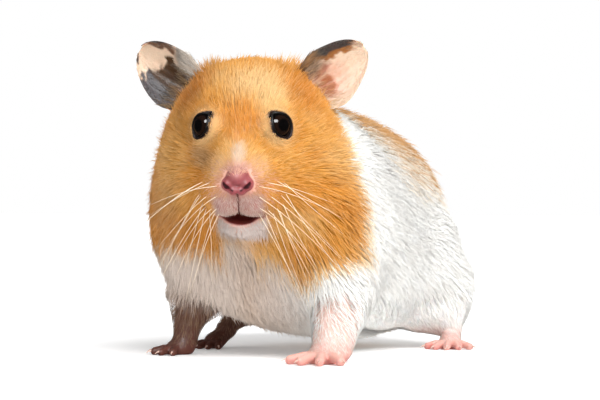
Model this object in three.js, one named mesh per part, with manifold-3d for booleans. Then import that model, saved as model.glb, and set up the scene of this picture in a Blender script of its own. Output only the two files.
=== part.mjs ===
// A Syrian hamster, life size, caught in mid-step with its head turned to its left.
// Millimetres, +Z up. The animal stands on Z = 0, its trunk lies along Y with the tail at +Y,
// and its left side is at +X. The flesh is one smooth field of rounded lumps and limbs, out to
// the tips of the coat. It is meshed region by region and parted with thin cuts, so that each
// part is a closed solid of its own.
import * as THREE from "three";
import { mergeVertices } from "three/addons/utils/BufferGeometryUtils.js";
import Module from "manifold-3d";

const wasm = await Module();
wasm.setup();
const { Manifold, Mesh } = wasm;
const radians = THREE.MathUtils.degToRad;

// ---------------------------------------------------------------- driving dimensions
const CUT = 0.3; // gap between neighbouring parts
const STANCE = [2.0, 0.6]; // middle of the animal's footprint, which becomes the origin
const TRUNK_HALF_WIDTH = 26;
const BACK_HEIGHT = 62;
const BELLY_HEIGHT = 10;
const HEAD_AT = [2.4, -31, 54]; // middle of the skull
const HEAD_YAW = 24; // degrees, towards the animal's left
const HEAD_PITCH = 20; // degrees, nose down
const MOUTH_HEIGHT = -12.4; // in the head's own axes
const EYE_RADIUS = 3.3;
const EYE_AT = [8.3, 11.2, 5]; // left, forward and up from the middle of the skull
const EAR_LENGTH = 16;
const EAR_WIDTH = 15;
const EAR_THICKNESS = 0.9;
const EAR_CUP = 3.4;
const EAR_LEAN = 1.5;
const WRIST_HEIGHT = 4.8; // the paws are parted from the legs here
const CLAW_LENGTH = 1.7;
const CLAW_RADIUS = 0.42;

// ---------------------------------------------------------------- fields
// A field gives the signed distance to a surface in mm, negative inside.
const ellipsoid = (at, r) => (x, y, z) => {
  const [dx, dy, dz] = [x - at[0], y - at[1], z - at[2]];
  const near = Math.hypot(dx / r[0], dy / r[1], dz / r[2]);
  const steep = Math.hypot(dx / r[0] ** 2, dy / r[1] ** 2, dz / r[2] ** 2);
  return steep < 1e-9 ? -Math.min(...r) : (near * (near - 1)) / steep;
};
const limb = (a, b, ra, rb) => (x, y, z) => {
  const along = [b[0] - a[0], b[1] - a[1], b[2] - a[2]];
  const from = [x - a[0], y - a[1], z - a[2]];
  const length2 = along[0] ** 2 + along[1] ** 2 + along[2] ** 2;
  const dot = from[0] * along[0] + from[1] * along[1] + from[2] * along[2];
  const t = Math.min(1, Math.max(0, dot / length2));
  return Math.hypot(...from.map((v, i) => v - t * along[i])) - (ra + t * (rb - ra));
};
const blend = (k, ...fields) => (x, y, z) => {
  let d = fields[0](x, y, z);
  for (let i = 1; i < fields.length; i++) {
    const e = fields[i](x, y, z);
    const h = Math.max(k - Math.abs(d - e), 0) / k;
    d = Math.min(d, e) - h * h * k * 0.25;
  }
  return d;
};
const grown = (field, reach) => (x, y, z) => field(x, y, z) - reach;
const both = (side) => [side(1), side(-1)];
const named = (table, make) =>
  Object.fromEntries(Object.entries(table).map(([name, entry]) => [name, make(entry, name)]));

// A rigid frame: the head and each paw are shaped in their own axes (left, forward, up).
function frame(at, yaw, pitch) {
  const turn = new THREE.Matrix4()
    .makeRotationZ(radians(yaw))
    .multiply(new THREE.Matrix4().makeRotationX(radians(pitch)));
  const matrix = new THREE.Matrix4().makeTranslation(...at).multiply(turn);
  const back = matrix.clone().invert().elements;
  const within = (field) => (x, y, z) => {
    const l = back[0] * x + back[4] * y + back[8] * z + back[12];
    const f = -(back[1] * x + back[5] * y + back[9] * z + back[13]);
    const u = back[2] * x + back[6] * y + back[10] * z + back[14];
    return field(l, f, u);
  };
  const m = matrix.elements;
  const outside = (field) => (x, y, z) =>
    field(
      m[0] * x + m[4] * y + m[8] * z + m[12],
      m[1] * x + m[5] * y + m[9] * z + m[13],
      m[2] * x + m[6] * y + m[10] * z + m[14],
    );
  const place = ([l, f, u]) => new THREE.Vector3(l, -f, u).applyMatrix4(matrix).toArray();
  return { matrix, within, outside, place };
}

// ---------------------------------------------------------------- head
const head = frame(HEAD_AT, HEAD_YAW, HEAD_PITCH);
const skull = blend(
  8,
  ellipsoid([0, -4, 1], [16.2, 17, 14]),
  limb([0, 3, 0], [0, 15.5, -5], 12.5, 7.6),
  ...both((s) => ellipsoid([s * 9, 0, -9], [10.8, 13, 13])),
  limb([0, 4, -12], [0, 12, -14], 9, 6),
);
const jowls = both((s) => ellipsoid([s * 10.5, -8, -19], [13, 14, 14]));
const lips = both((s) => ellipsoid([s * 3.8, 19.2, -8], [5, 5, 4.6]));
const chin = ellipsoid([0, 16.6, -15.2], [5, 5.6, 3.6]);
const face = blend(3.5, blend(9, skull, ...jowls), ...lips, chin);
const noseField = blend(
  1.2,
  ellipsoid([0, 24.2, -3.4], [3.1, 2.3, 2.5]),
  ...both((s) => ellipsoid([s * 2, 24, -4.8], [1.6, 2, 1.4])),
);

// ---------------------------------------------------------------- trunk and neck
const halfHeight = (BACK_HEIGHT - BELLY_HEIGHT) / 2;
const trunkField = blend(
  12,
  ellipsoid([0, 5, BELLY_HEIGHT + halfHeight], [TRUNK_HALF_WIDTH, 33, halfHeight]), // back
  ellipsoid([0, 27, 31], [24, 24, 25]), // rump
  ellipsoid([8, 8, 20], [20, 30, 16.5]), // belly, sagging to the left
  ellipsoid([-1, -17, 31], [22.5, 18, 20]), // chest
  ellipsoid([-16, -19, 27], [11.5, 13, 11]), // ruff
  ellipsoid([14, -19, 30], [11, 12, 11]),
);
const neckField = limb(head.place([0, -7, -6]), [-0.5, -8, 35], 18, 24);

// ---------------------------------------------------------------- legs
const LEGS = {
  foreleg_left: { hip: [14, -13, 30], bend: [22.5, -22, 16.5], end: [25, -30.5, 4], r: [9, 7.8, 5] },
  foreleg_right: { hip: [-12, -15, 28], bend: [-19.2, -22.5, 15], end: [-20, -24.5, 3.5], r: [9, 5, 3] },
  hindleg_left: { hip: [16.5, 26, 20.5], bend: [21.5, 29, 14.8], end: [27.4, 28, 4.5], r: [16.5, 10.6, 2] },
  hindleg_right: { hip: [-16, 17, 21], bend: [-19, 8.5, 15], end: [-23.6, 0.4, 5.5], r: [16, 7.6, 2.3] },
};
const thighs = Object.values(LEGS).map(({ hip, bend, r }) => limb(hip, bend, r[0], r[1]));
const legs = named(LEGS, ({ hip, bend, end, r }) =>
  blend(6, limb(hip, bend, r[0], r[1]), limb(bend, end, r[1], r[2])),
);

// ---------------------------------------------------------------- paws
// Each paw points along its forward axis, with the wrist or ankle over its origin. Its toes fan
// out by the given angles, reaching from one radius to another.
const PAWS = {
  forepaw_left: {
    at: [24.4, -34.2, 0], yaw: 5, toes: [-56, -19, 17, 52], from: 2.4, to: 7.8, r: 1.3,
    sole: ellipsoid([0, -0.4, 1.5], [4.5, 4.6, 2.5]),
  },
  forepaw_right: {
    at: [-21.2, -26.2, 0], yaw: -26, toes: [-48, -16, 16, 48], from: 2, to: 5.8, r: 1.05,
    sole: ellipsoid([0, -0.4, 1.3], [3.6, 3.8, 2.2]),
  },
  hindpaw_left: {
    at: [28.2, 25.6, 0], yaw: 18, toes: [-56, -27, 0, 27, 54], from: 2.4, to: 6.6, r: 1.05,
    sole: limb([0, -4.6, 1.6], [0, 1, 1.5], 2.2, 2.9),
  },
  hindpaw_right: {
    at: [-24.6, -2.6, 0], yaw: -14, toes: [-50, -25, 0, 25, 50], from: 2.2, to: 6.2, r: 1,
    sole: limb([0, -3.8, 4.2], [0, 1, 1.5], 2, 2.7),
  },
};
const pawFrames = named(PAWS, ({ at, yaw }) => frame(at, yaw, 0));
const limbs = named(legs, (leg, name) => {
  const paw = name.replace("leg", "paw");
  return blend(2, leg, pawFrames[paw].within(PAWS[paw].sole));
});

const core = blend(13, trunkField, neckField, head.within(face));
const torso = blend(7, core, ...thighs);
const limbed = blend(7, core, ...Object.values(limbs));

// ---------------------------------------------------------------- meshing
// The edges of a grid cell as pairs of corners, and its six faces as rings of corners.
const CORNERS = [0, 1, 2, 3, 4, 5, 6, 7].map((c) => [c & 1, (c >> 1) & 1, c >> 2]);
const EDGES = CORNERS.flatMap((_, a) => [1, 2, 4].filter((bit) => !(a & bit)).map((bit) => [a, a | bit]));
const edgeOf = (a, b) => EDGES.findIndex(([p, q]) => p === Math.min(a, b) && q === Math.max(a, b));
const FACES = [0, 1, 2].flatMap((axis) => {
  const [u, w] = [1 << (axis + 1) % 3, 1 << (axis + 2) % 3];
  return [0, 1 << axis].map((side) => [side, side | u, side | u | w, side | w]);
});
// Groups the crossed edges of a cell into patches: the pieces of surface that pass through it.
function patchesOf(inside) {
  const group = EDGES.map(([a, b], e) => (inside[a] !== inside[b] ? e : -1));
  const join = (e, f) => {
    const [from, to] = [group[e], group[f]];
    group.forEach((g, i) => g === from && (group[i] = to));
  };
  for (const ring of FACES) {
    const crossed = ring.map((c, i) => edgeOf(c, ring[(i + 1) % 4])).filter((e) => group[e] >= 0);
    if (crossed.length === 2) join(...crossed);
    if (crossed.length === 4)
      ring.forEach((c, i) => inside[c] && join(edgeOf(ring[(i + 3) % 4], c), edgeOf(c, ring[(i + 1) % 4])));
  }
  return group;
}
const PATCHES = Array.from({ length: 256 }, (_, code) => patchesOf(CORNERS.map((_, c) => (code >> c) & 1)));

// Grid lines from low to high, spaced by `fine` at the focus and widening to `wide` over reach.
function graded(low, high, focus, fine, wide, reach) {
  const lines = [low];
  while (lines.at(-1) < high) {
    const far = Math.min(1, Math.abs(lines.at(-1) - focus) / reach);
    lines.push(lines.at(-1) + fine + (wide - fine) * far);
  }
  return lines;
}
const even = (low, high, step) => low.map((v, i) => graded(v, high[i], 0, step, step, 1));
const around = (at, reach, step) => even(at.map((v) => v - reach), at.map((v) => v + reach), step);

// Walks a grid of cells, puts one vertex on each patch of surface in a cell, pulls it onto the
// surface, and joins the vertices round each crossed grid edge with a quad.
function meshOf(field, lines) {
  const n = lines.map((line) => line.length);
  const inward = (line, a, b) => line.at(a) + 0.6 * (line.at(b) - line.at(a));
  const low = lines.map((line) => inward(line, 0, 1));
  const high = lines.map((line) => inward(line, -1, -2));
  const clipped = (...p) => Math.max(field(...p), ...p.flatMap((v, i) => [low[i] - v, v - high[i]]));
  const at = (i, j, k) => i + n[0] * (j + n[1] * k);
  const values = new Float64Array(n[0] * n[1] * n[2]);
  for (let k = 0; k < n[2]; k++)
    for (let j = 0; j < n[1]; j++)
      for (let i = 0; i < n[0]; i++) values[at(i, j, k)] = clipped(lines[0][i], lines[1][j], lines[2][k]);
  const vertices = [];
  const vertexAt = new Map();
  for (let k = 0; k < n[2] - 1; k++)
    for (let j = 0; j < n[1] - 1; j++)
      for (let i = 0; i < n[0] - 1; i++) {
        const v = CORNERS.map(([a, b, c]) => values[at(i + a, j + b, k + c)]);
        const groups = PATCHES[v.reduce((code, d, c) => code | ((d < 0) << c), 0)];
        const start = [i, j, k].map((c, m) => lines[m][c]);
        const size = [i, j, k].map((c, m) => lines[m][c + 1] - lines[m][c]);
        for (const g of new Set(groups)) {
          if (g < 0) continue;
          const members = EDGES.map((_, e) => e).filter((e) => groups[e] === g);
          const middle = [0, 0, 0];
          for (const e of members) {
            const [a, b] = EDGES[e];
            const t = v[a] / (v[a] - v[b]);
            for (const m of [0, 1, 2])
              middle[m] += (CORNERS[a][m] + t * (CORNERS[b][m] - CORNERS[a][m])) / members.length;
          }
          for (const e of members) vertexAt.set(at(i, j, k) * 12 + e, vertices.length / 3);
          const guess = middle.map((t, m) => start[m] + t * size[m]);
          vertices.push(...ontoSurface(clipped, guess, Math.min(...size)));
        }
      }
  const faces = [];
  const strides = [1, n[0], n[0] * n[1]];
  for (let k = 0; k < n[2] - 1; k++)
    for (let j = 0; j < n[1] - 1; j++)
      for (let i = 0; i < n[0] - 1; i++)
        for (let axis = 0; axis < 3; axis++) {
          const here = at(i, j, k);
          const inside = values[here] < 0;
          const [u, w] = [(axis + 1) % 3, (axis + 2) % 3];
          if (inside === values[here + strides[axis]] < 0 || ![i, j, k][u] || ![i, j, k][w]) continue;
          const round = [[1, 1], [0, 1], [0, 0], [1, 0]].map(([p, q]) => {
            const corner = (p << u) | (q << w);
            const cell = here - p * strides[u] - q * strides[w];
            return vertexAt.get(cell * 12 + edgeOf(corner, corner | (1 << axis)));
          });
          if (!inside) round.reverse();
          faces.push(round[0], round[1], round[2], round[0], round[2], round[3]);
        }
  return { vertices, faces };
}
function ontoSurface(field, start, step) {
  const e = 0.05;
  let p = start;
  for (let pass = 0; pass < 3; pass++) {
    const d = field(...p);
    const slope = [0, 1, 2].map((m) => {
      const q = [...p];
      q[m] += e;
      return (field(...q) - d) / e;
    });
    const size = slope.reduce((s, v) => s + v * v, 0);
    if (size < 0.1) break;
    p = p.map((v, m) => v - (d * slope[m]) / size);
  }
  const moved = Math.hypot(...p.map((v, m) => v - start[m]));
  return moved < step * 0.45 ? p : start;
}
const solidFrom = ({ vertices, faces }) =>
  new Manifold(
    new Mesh({ numProp: 3, vertProperties: new Float32Array(vertices), triVerts: new Uint32Array(faces) }),
  );
const solidOf = (field, lines) => solidFrom(meshOf(field, lines));
function closed(geometry) {
  for (const name of ["normal", "uv"]) geometry.deleteAttribute(name);
  const welded = mergeVertices(geometry, 1e-4);
  return solidFrom({ vertices: welded.attributes.position.array, faces: welded.index.array });
}

// ---------------------------------------------------------------- ears
// across runs from the lower root, -1, to the upper root, 1, and up from the root to the tip.
const EAR_ROOT = new THREE.Vector3(15.2, -6.4, 9.2);
const EAR_ACROSS = new THREE.Vector3(-0.54, -0.1, 0.84).normalize();
const EAR_UP = new THREE.Vector3(0.8, -0.42, 0.42).normalize();
const EAR_FACING = new THREE.Vector3().crossVectors(EAR_ACROSS, EAR_UP).normalize();
function earPoint(side, across, up) {
  const rise = THREE.MathUtils.clamp(up, 0, 0.99);
  const half = (EAR_WIDTH / 2) * (1 - rise ** 2.8) ** 0.6;
  const cup = EAR_CUP * (across ** 2 * (1 - rise ** 2) - 0.75 * (1 - rise) + 0.25 * rise ** 3);
  const p = EAR_ROOT.clone()
    .addScaledVector(EAR_ACROSS, EAR_LEAN * rise ** 2 + across * half)
    .addScaledVector(EAR_UP, up * EAR_LENGTH)
    .addScaledVector(EAR_FACING, cup);
  return new THREE.Vector3(...head.place([side * p.x, p.y, p.z]));
}
// A cupped leaf with two faces. Its root reaches a little way into the head.
function earSolid(side, thickness, root) {
  const [columns, rows, tip, nudge] = [8, 7, 0.985, 0.02];
  const slope = (x, y, dx, dy) => earPoint(side, x + dx, y + dy).sub(earPoint(side, x - dx, y - dy));
  const normal = (x, y) => slope(x, y, nudge, 0).cross(slope(x, y, 0, nudge)).normalize();
  const vertices = [];
  for (const face of [-1, 1])
    for (let j = 0; j <= rows; j++)
      for (let i = 0; i <= columns; i++) {
        const across = Math.sin(((i / columns) * 2 - 1) * 1.4) / Math.sin(1.4);
        const up = root + (tip - root) * Math.sin(((j / rows) * Math.PI) / 2);
        const rim = i === 0 || i === columns || j === rows ? 0.6 : 1;
        const off = (face * thickness * rim) / 2;
        const p = earPoint(side, across, up).addScaledVector(normal(across * 0.97, up * 0.97), off);
        vertices.push(...p.toArray());
      }
  const faces = [];
  const at = (face, i, j) => (face * (rows + 1) + j) * (columns + 1) + i;
  const quad = (a, b, c, d) => faces.push(a, b, c, a, c, d);
  for (let j = 0; j < rows; j++)
    for (let i = 0; i < columns; i++) {
      quad(at(0, i, j), at(0, i, j + 1), at(0, i + 1, j + 1), at(0, i + 1, j));
      quad(at(1, i, j), at(1, i + 1, j), at(1, i + 1, j + 1), at(1, i, j + 1));
    }
  for (let i = 0; i < columns; i++) {
    quad(at(0, i, 0), at(0, i + 1, 0), at(1, i + 1, 0), at(1, i, 0));
    quad(at(0, i, rows), at(1, i, rows), at(1, i + 1, rows), at(0, i + 1, rows));
  }
  for (let j = 0; j < rows; j++) {
    quad(at(0, 0, j), at(1, 0, j), at(1, 0, j + 1), at(0, 0, j + 1));
    quad(at(0, columns, j), at(0, columns, j + 1), at(1, columns, j + 1), at(1, columns, j));
  }
  return solidFrom({ vertices, faces });
}

// ---------------------------------------------------------------- cutting planes
// Everything beyond a plane: its normal is turned by yaw from -Y and raised by elevation.
function beyond(point, yaw, elevation, offset = 0) {
  const size = 300;
  const box = new THREE.BoxGeometry(size, size, size).translate(0, 0, size / 2 + offset);
  const normal = new THREE.Vector3(0, -Math.cos(radians(elevation)), Math.sin(radians(elevation)));
  normal.applyAxisAngle(new THREE.Vector3(0, 0, 1), radians(yaw));
  box.applyQuaternion(new THREE.Quaternion().setFromUnitVectors(new THREE.Vector3(0, 0, 1), normal));
  return closed(box.translate(...point));
}
const headSide = (offset) => beyond([-1.5, -19, 66], HEAD_YAW, 25, offset);
const neckSide = (offset) => beyond([0, -8, 62], HEAD_YAW / 2, 33, offset);
const above = (height) => beyond([0, 0, height], 0, 90);

// ---------------------------------------------------------------- flesh
const solids = {};
const coarse = solidOf(torso, even([-46, -60, -4], [46, 60, 78], 6.2));
const headLines = [
  graded(-31, 31, 0, 2.5, 5, 22),
  graded(-33, 26, -20, 2.5, 5, 24),
  graded(-46, 23, -9, 2.5, 5, 24),
];
const headMesh = meshOf(head.outside(torso), headLines);
const headCloud = new THREE.BufferGeometry();
headCloud.setAttribute("position", new THREE.Float32BufferAttribute(headMesh.vertices, 3));
headMesh.vertices = headCloud.applyMatrix4(head.matrix).attributes.position.array;
solids.head = solidFrom(headMesh).intersect(headSide(CUT / 2));
solids.neck = coarse.subtract(headSide(-CUT / 2)).intersect(neckSide(CUT / 2));
solids.trunk = coarse.subtract(headSide(-CUT / 2)).subtract(neckSide(-CUT / 2));

// Flesh belongs to a foreleg where the leg's own field is nearer than the trunk's. A hind leg
// takes an oval plug of the flank, from a side plane outwards, and all round its lower length.
const PLUGS = {
  hindleg_left: { side: 1, from: 9, at: [27, 17], r: [16.5, 18.5] },
  hindleg_right: { side: -1, from: 9, at: [15, 17], r: [16.5, 18] },
};
const shanks = named(LEGS, ({ bend, end, r }, name) => {
  const paw = name.replace("leg", "paw");
  const sole = pawFrames[paw].within(PAWS[paw].sole);
  return blend(4, limb(bend, end, r[1] * 0.7, r[2] + 1.5), grown(sole, 1.5));
});
const legLines = even([-48, -54, -6], [48, 52, 44], 5.3);
function regionOf(name, reach) {
  if (!PLUGS[name])
    return solidOf((x, y, z) => 0.6 * (limbs[name](x, y, z) - core(x, y, z)) - reach, legLines);
  const { side, from, at, r } = PLUGS[name];
  const plug = new THREE.CylinderGeometry(1, 1, 1, 32).rotateZ(Math.PI / 2).translate(side / 2, 0, 0);
  plug.scale(50, r[0] + reach, r[1] + reach).translate(side * (from - reach), ...at);
  return closed(plug).add(solidOf(grown(shanks[name], reach), legLines));
}
const lower = solidOf(limbed, even([-48, -54, -6], [48, 52, 44], 4));
for (const name of Object.keys(LEGS)) {
  const outer = regionOf(name, CUT / 2);
  solids.trunk = solids.trunk.subtract(outer);
  solids.neck = solids.neck.subtract(outer);
  solids[name] = lower.intersect(regionOf(name, -CUT / 2)).intersect(above(WRIST_HEIGHT + CUT / 2));
}

// A paw is the foot of its leg below the wrist, with round toes and small claws joined on.
for (const [name, { at, toes, from, to, r }] of Object.entries(PAWS)) {
  const leg = name.replace("paw", "leg");
  const own = (x, y, z) => Math.max(limbs[leg](x, y, z), shanks[leg](x, y, z) + CUT / 2);
  let paw = solidOf(own, around([at[0], at[1], 2], 11, 2.3));
  for (const angle of toes) {
    const toe = new THREE.CapsuleGeometry(r, to - from, 2, 6).translate(0, -(from + to) / 2, r * 0.8);
    const claw = new THREE.ConeGeometry(CLAW_RADIUS, CLAW_LENGTH, 5).rotateX(-Math.PI / 2 - 0.2);
    claw.translate(0, -to - r * 0.6 - CLAW_LENGTH / 2, r * 0.8);
    for (const piece of [toe, claw])
      paw = paw.add(closed(piece.rotateZ(radians(angle)).applyMatrix4(pawFrames[name].matrix)));
  }
  solids[name] = paw.intersect(above(0)).subtract(above(WRIST_HEIGHT - CUT / 2));
}

// The lower jaw is a block of the chin, parted along the mouth, with the mouth hollow between.
const inHead = (geometry) => closed(geometry.applyMatrix4(head.matrix));
const jawBlock = (grow) =>
  inHead(
    new THREE.BoxGeometry(12 + 2 * grow, 16 + grow, 8 + grow)
      .translate(0, -20 + grow / 2, MOUTH_HEIGHT - 4 + grow / 2),
  );
const hollow = inHead(new THREE.SphereGeometry(1, 12, 8).scale(4, 4.4, 1.9).translate(0, -20.4, MOUTH_HEIGHT));
solids.lower_jaw = solids.head.intersect(jawBlock(0)).subtract(hollow);
solids.head = solids.head.subtract(jawBlock(CUT)).subtract(hollow);

// ---------------------------------------------------------------- nose, eyes, ears and tail
const noseLines = around(head.place([0, 24, -4]), 6, 1.25);
solids.nose = solidOf(head.within(noseField), noseLines);
solids.head = solids.head.subtract(solidOf(head.within(grown(noseField, CUT)), noseLines));
for (const [side, name] of [[1, "left"], [-1, "right"]]) {
  const ball = (r) => inHead(new THREE.SphereGeometry(r, 12, 8).translate(side * EYE_AT[0], -EYE_AT[1], EYE_AT[2]));
  solids["eye_" + name] = ball(EYE_RADIUS);
  solids["ear_" + name] = earSolid(side, EAR_THICKNESS, -0.1);
  solids.head = solids.head
    .subtract(ball(EYE_RADIUS + CUT))
    .subtract(earSolid(side, EAR_THICKNESS + 2 * CUT, -0.12));
}
const tail = (grow) =>
  solidOf(limb([0, 45, 15], [0, 53, 12.4], 2.6 + grow, 1.4 + grow), even([-7, 37, 5], [7, 60, 24], 1.9));
solids.tail = tail(0);
solids.trunk = solids.trunk.subtract(tail(CUT));

// ---------------------------------------------------------------- colours
const COATS = [
  { names: ["head", "neck"], color: 0xd99a4a, roughness: 0.85 },
  { names: ["lower_jaw"], color: 0xe9dccf, roughness: 0.8 },
  { names: ["trunk"], color: 0xefebe6, roughness: 0.85 },
  { names: Object.keys(LEGS), color: 0xe8e0da, roughness: 0.85 },
  { names: [...Object.keys(PAWS), "tail"], color: 0xdba39a, roughness: 0.6 },
  { names: ["nose"], color: 0xd8868a, roughness: 0.45 },
  { names: ["ear_left", "ear_right"], color: 0xe3bfae, roughness: 0.6 },
  { names: ["eye_left", "eye_right"], color: 0x0b0908, roughness: 0.08 },
];
const largest = (solid) => solid.decompose().sort((a, b) => b.volume() - a.volume())[0];
const group = new THREE.Group();
group.name = "syrian_hamster";
for (const { names, color, roughness } of COATS)
  for (const name of names) {
    const made = largest(solids[name]).getMesh();
    const geometry = new THREE.BufferGeometry();
    geometry.setAttribute("position", new THREE.BufferAttribute(new Float32Array(made.vertProperties), 3));
    geometry.setIndex(new THREE.BufferAttribute(new Uint32Array(made.triVerts), 1));
    geometry.translate(-STANCE[0], -STANCE[1], 0);
    geometry.computeVertexNormals();
    const mesh = new THREE.Mesh(geometry, new THREE.MeshStandardMaterial({ color, roughness, metalness: 0 }));
    mesh.name = name;
    group.add(mesh);
  }

export default group;
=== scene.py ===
"""A Syrian hamster, life size, golden and white, caught in mid-step with its head turned.

Shapes are worked out in millimetres, in the same axes as the solids: +Z up, the head at -Y,
the animal's left side at +X. They become metres when a mesh is made.
"""
import math
import bmesh
import bpy
import numpy as np
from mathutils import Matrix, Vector


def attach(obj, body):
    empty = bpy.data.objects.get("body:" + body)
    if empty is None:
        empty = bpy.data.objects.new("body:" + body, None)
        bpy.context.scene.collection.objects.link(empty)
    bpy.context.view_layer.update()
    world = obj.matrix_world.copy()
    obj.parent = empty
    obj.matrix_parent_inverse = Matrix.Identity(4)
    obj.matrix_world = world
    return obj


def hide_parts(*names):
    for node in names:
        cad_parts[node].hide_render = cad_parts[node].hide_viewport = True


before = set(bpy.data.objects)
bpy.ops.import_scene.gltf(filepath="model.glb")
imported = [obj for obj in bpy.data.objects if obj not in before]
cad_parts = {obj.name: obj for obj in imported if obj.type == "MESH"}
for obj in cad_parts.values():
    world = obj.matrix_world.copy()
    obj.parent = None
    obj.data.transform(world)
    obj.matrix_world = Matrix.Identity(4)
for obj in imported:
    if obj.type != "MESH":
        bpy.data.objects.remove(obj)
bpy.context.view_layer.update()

# ---------------------------------------------------------------- the animal's form
# The outline of the living animal, out to the tips of its coat, as one smooth field: the signed
# distance in mm, negative inside. It is a few rounded lumps and limbs, blended where they meet,
# and the skin, the coat and the whiskers are all worked out from it.
STANCE = np.array([2.0, 0.6, 0.0])  # the middle of the footprint, which is the frame's origin
TRUNK_HALF_WIDTH = 26.0
BACK_HEIGHT = 62.0
BELLY_HEIGHT = 10.0


def ellipsoid(at, r):
    def field(x, y, z):
        dx, dy, dz = (x - at[0]) / r[0], (y - at[1]) / r[1], (z - at[2]) / r[2]
        near = np.sqrt(dx * dx + dy * dy + dz * dz)
        steep = np.sqrt((dx / r[0]) ** 2 + (dy / r[1]) ** 2 + (dz / r[2]) ** 2)
        return near * (near - 1) / np.maximum(steep, 1e-6)
    return field


def limb(a, b, ra, rb):
    along = [q - p for p, q in zip(a, b)]
    length2 = sum(v * v for v in along)

    def field(x, y, z):
        px, py, pz = x - a[0], y - a[1], z - a[2]
        t = np.clip((px * along[0] + py * along[1] + pz * along[2]) / length2, 0, 1)
        qx, qy, qz = px - t * along[0], py - t * along[1], pz - t * along[2]
        return np.sqrt(qx * qx + qy * qy + qz * qz) - (ra + t * (rb - ra))
    return field


def smooth_min(d, e, k):
    h = np.maximum(k - np.abs(d - e), 0) / k
    return np.minimum(d, e) - h * h * k * 0.25


def blend(k, *fields):
    def field(x, y, z):
        d = fields[0](x, y, z)
        for other in fields[1:]:
            d = smooth_min(d, other(x, y, z), k)
        return d
    return field


class Axes:
    """The head or a paw, which is shaped in its own axes: left, forward and up."""

    def __init__(self, at, yaw, pitch):
        a, b = math.radians(yaw), math.radians(pitch)
        yaw_turn = np.array([[math.cos(a), -math.sin(a), 0], [math.sin(a), math.cos(a), 0], [0, 0, 1]])
        pitch_turn = np.array([[1, 0, 0], [0, math.cos(b), -math.sin(b)], [0, math.sin(b), math.cos(b)]])
        self.at = np.array(at, float)
        self.turn = yaw_turn @ pitch_turn @ np.diag([1.0, -1.0, 1.0])

    def local(self, x, y, z):
        dx, dy, dz = x - self.at[0], y - self.at[1], z - self.at[2]
        t = self.turn
        return [t[0, k] * dx + t[1, k] * dy + t[2, k] * dz for k in range(3)]

    def within(self, field):
        return lambda x, y, z: field(*self.local(x, y, z))

    def place(self, points):
        return self.at + np.asarray(points, float) @ self.turn.T


head = Axes([2.4, -31.0, 54.0], 24, 20)
skull = blend(
    8,
    ellipsoid([0, -4, 1], [16.2, 17, 14]),
    limb([0, 3, 0], [0, 15.5, -5], 12.5, 7.6),
    ellipsoid([9, 0, -9], [10.8, 13, 13]),
    ellipsoid([-9, 0, -9], [10.8, 13, 13]),
    limb([0, 4, -12], [0, 12, -14], 9, 6),
)
face = blend(
    3.5,
    blend(9, skull, *(ellipsoid([s * 10.5, -8, -19], [13, 14, 14]) for s in (1, -1))),
    *(ellipsoid([s * 3.8, 19.2, -8], [5, 5, 4.6]) for s in (1, -1)),
    ellipsoid([0, 16.6, -15.2], [5, 5.6, 3.6]),
)
half_height = (BACK_HEIGHT - BELLY_HEIGHT) / 2
trunk = blend(
    12,
    ellipsoid([0, 5, BELLY_HEIGHT + half_height], [TRUNK_HALF_WIDTH, 33, half_height]),
    ellipsoid([0, 27, 31], [24, 24, 25]),
    ellipsoid([8, 8, 20], [20, 30, 16.5]),
    ellipsoid([-1, -17, 31], [22.5, 18, 20]),
    ellipsoid([-16, -19, 27], [11.5, 13, 11]),
    ellipsoid([14, -19, 30], [11, 12, 11]),
)
neck = limb(head.place([0, -7, -6]).tolist(), [-0.5, -8, 35], 18, 24)
# Each leg: its hip or shoulder, its bend, its end, and the radius at each.
LEGS = {
    "foreleg_left": ([14, -13, 30], [22.5, -22, 16.5], [25, -30.5, 4], (9, 7.8, 5)),
    "foreleg_right": ([-12, -15, 28], [-19.2, -22.5, 15], [-20, -24.5, 3.5], (9, 5, 3)),
    "hindleg_left": ([16.5, 26, 20.5], [21.5, 29, 14.8], [27.4, 28, 4.5], (16.5, 10.6, 2)),
    "hindleg_right": ([-16, 17, 21], [-19, 8.5, 15], [-23.6, 0.4, 5.5], (16, 7.6, 2.3)),
}
# Each paw: where it stands, its yaw, the angles of its toes, how far out they reach from and to,
# their radius, and the sole in the paw's own axes.
PAWS = {
    "forepaw_left": ([24.4, -34.2, 0], 5, (-56, -19, 17, 52), 2.4, 7.8, 1.3,
                     ellipsoid([0, -0.4, 1.5], [4.5, 4.6, 2.5])),
    "forepaw_right": ([-21.2, -26.2, 0], -26, (-48, -16, 16, 48), 2.0, 5.8, 1.05,
                      ellipsoid([0, -0.4, 1.3], [3.6, 3.8, 2.2])),
    "hindpaw_left": ([28.2, 25.6, 0], 18, (-56, -27, 0, 27, 54), 2.4, 6.6, 1.05,
                     limb([0, -4.6, 1.6], [0, 1, 1.5], 2.2, 2.9)),
    "hindpaw_right": ([-24.6, -2.6, 0], -14, (-50, -25, 0, 25, 50), 2.2, 6.2, 1.0,
                      limb([0, -3.8, 4.2], [0, 1, 1.5], 2, 2.7)),
}
paw_axes = {name: Axes(at, yaw, 0) for name, (at, yaw, *_) in PAWS.items()}


def leg_field(name):
    hip, bend, end, r = LEGS[name]
    paw = name.replace("leg", "paw")
    bones = blend(6, limb(hip, bend, r[0], r[1]), limb(bend, end, r[1], r[2]))
    return blend(2, bones, paw_axes[paw].within(PAWS[paw][-1]))


outline = blend(7, blend(13, trunk, neck, head.within(face)), *(leg_field(name) for name in LEGS))
tail = limb([0, 44, 15.4], [0, 53.2, 12.4], 2.3, 1.0)


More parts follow.
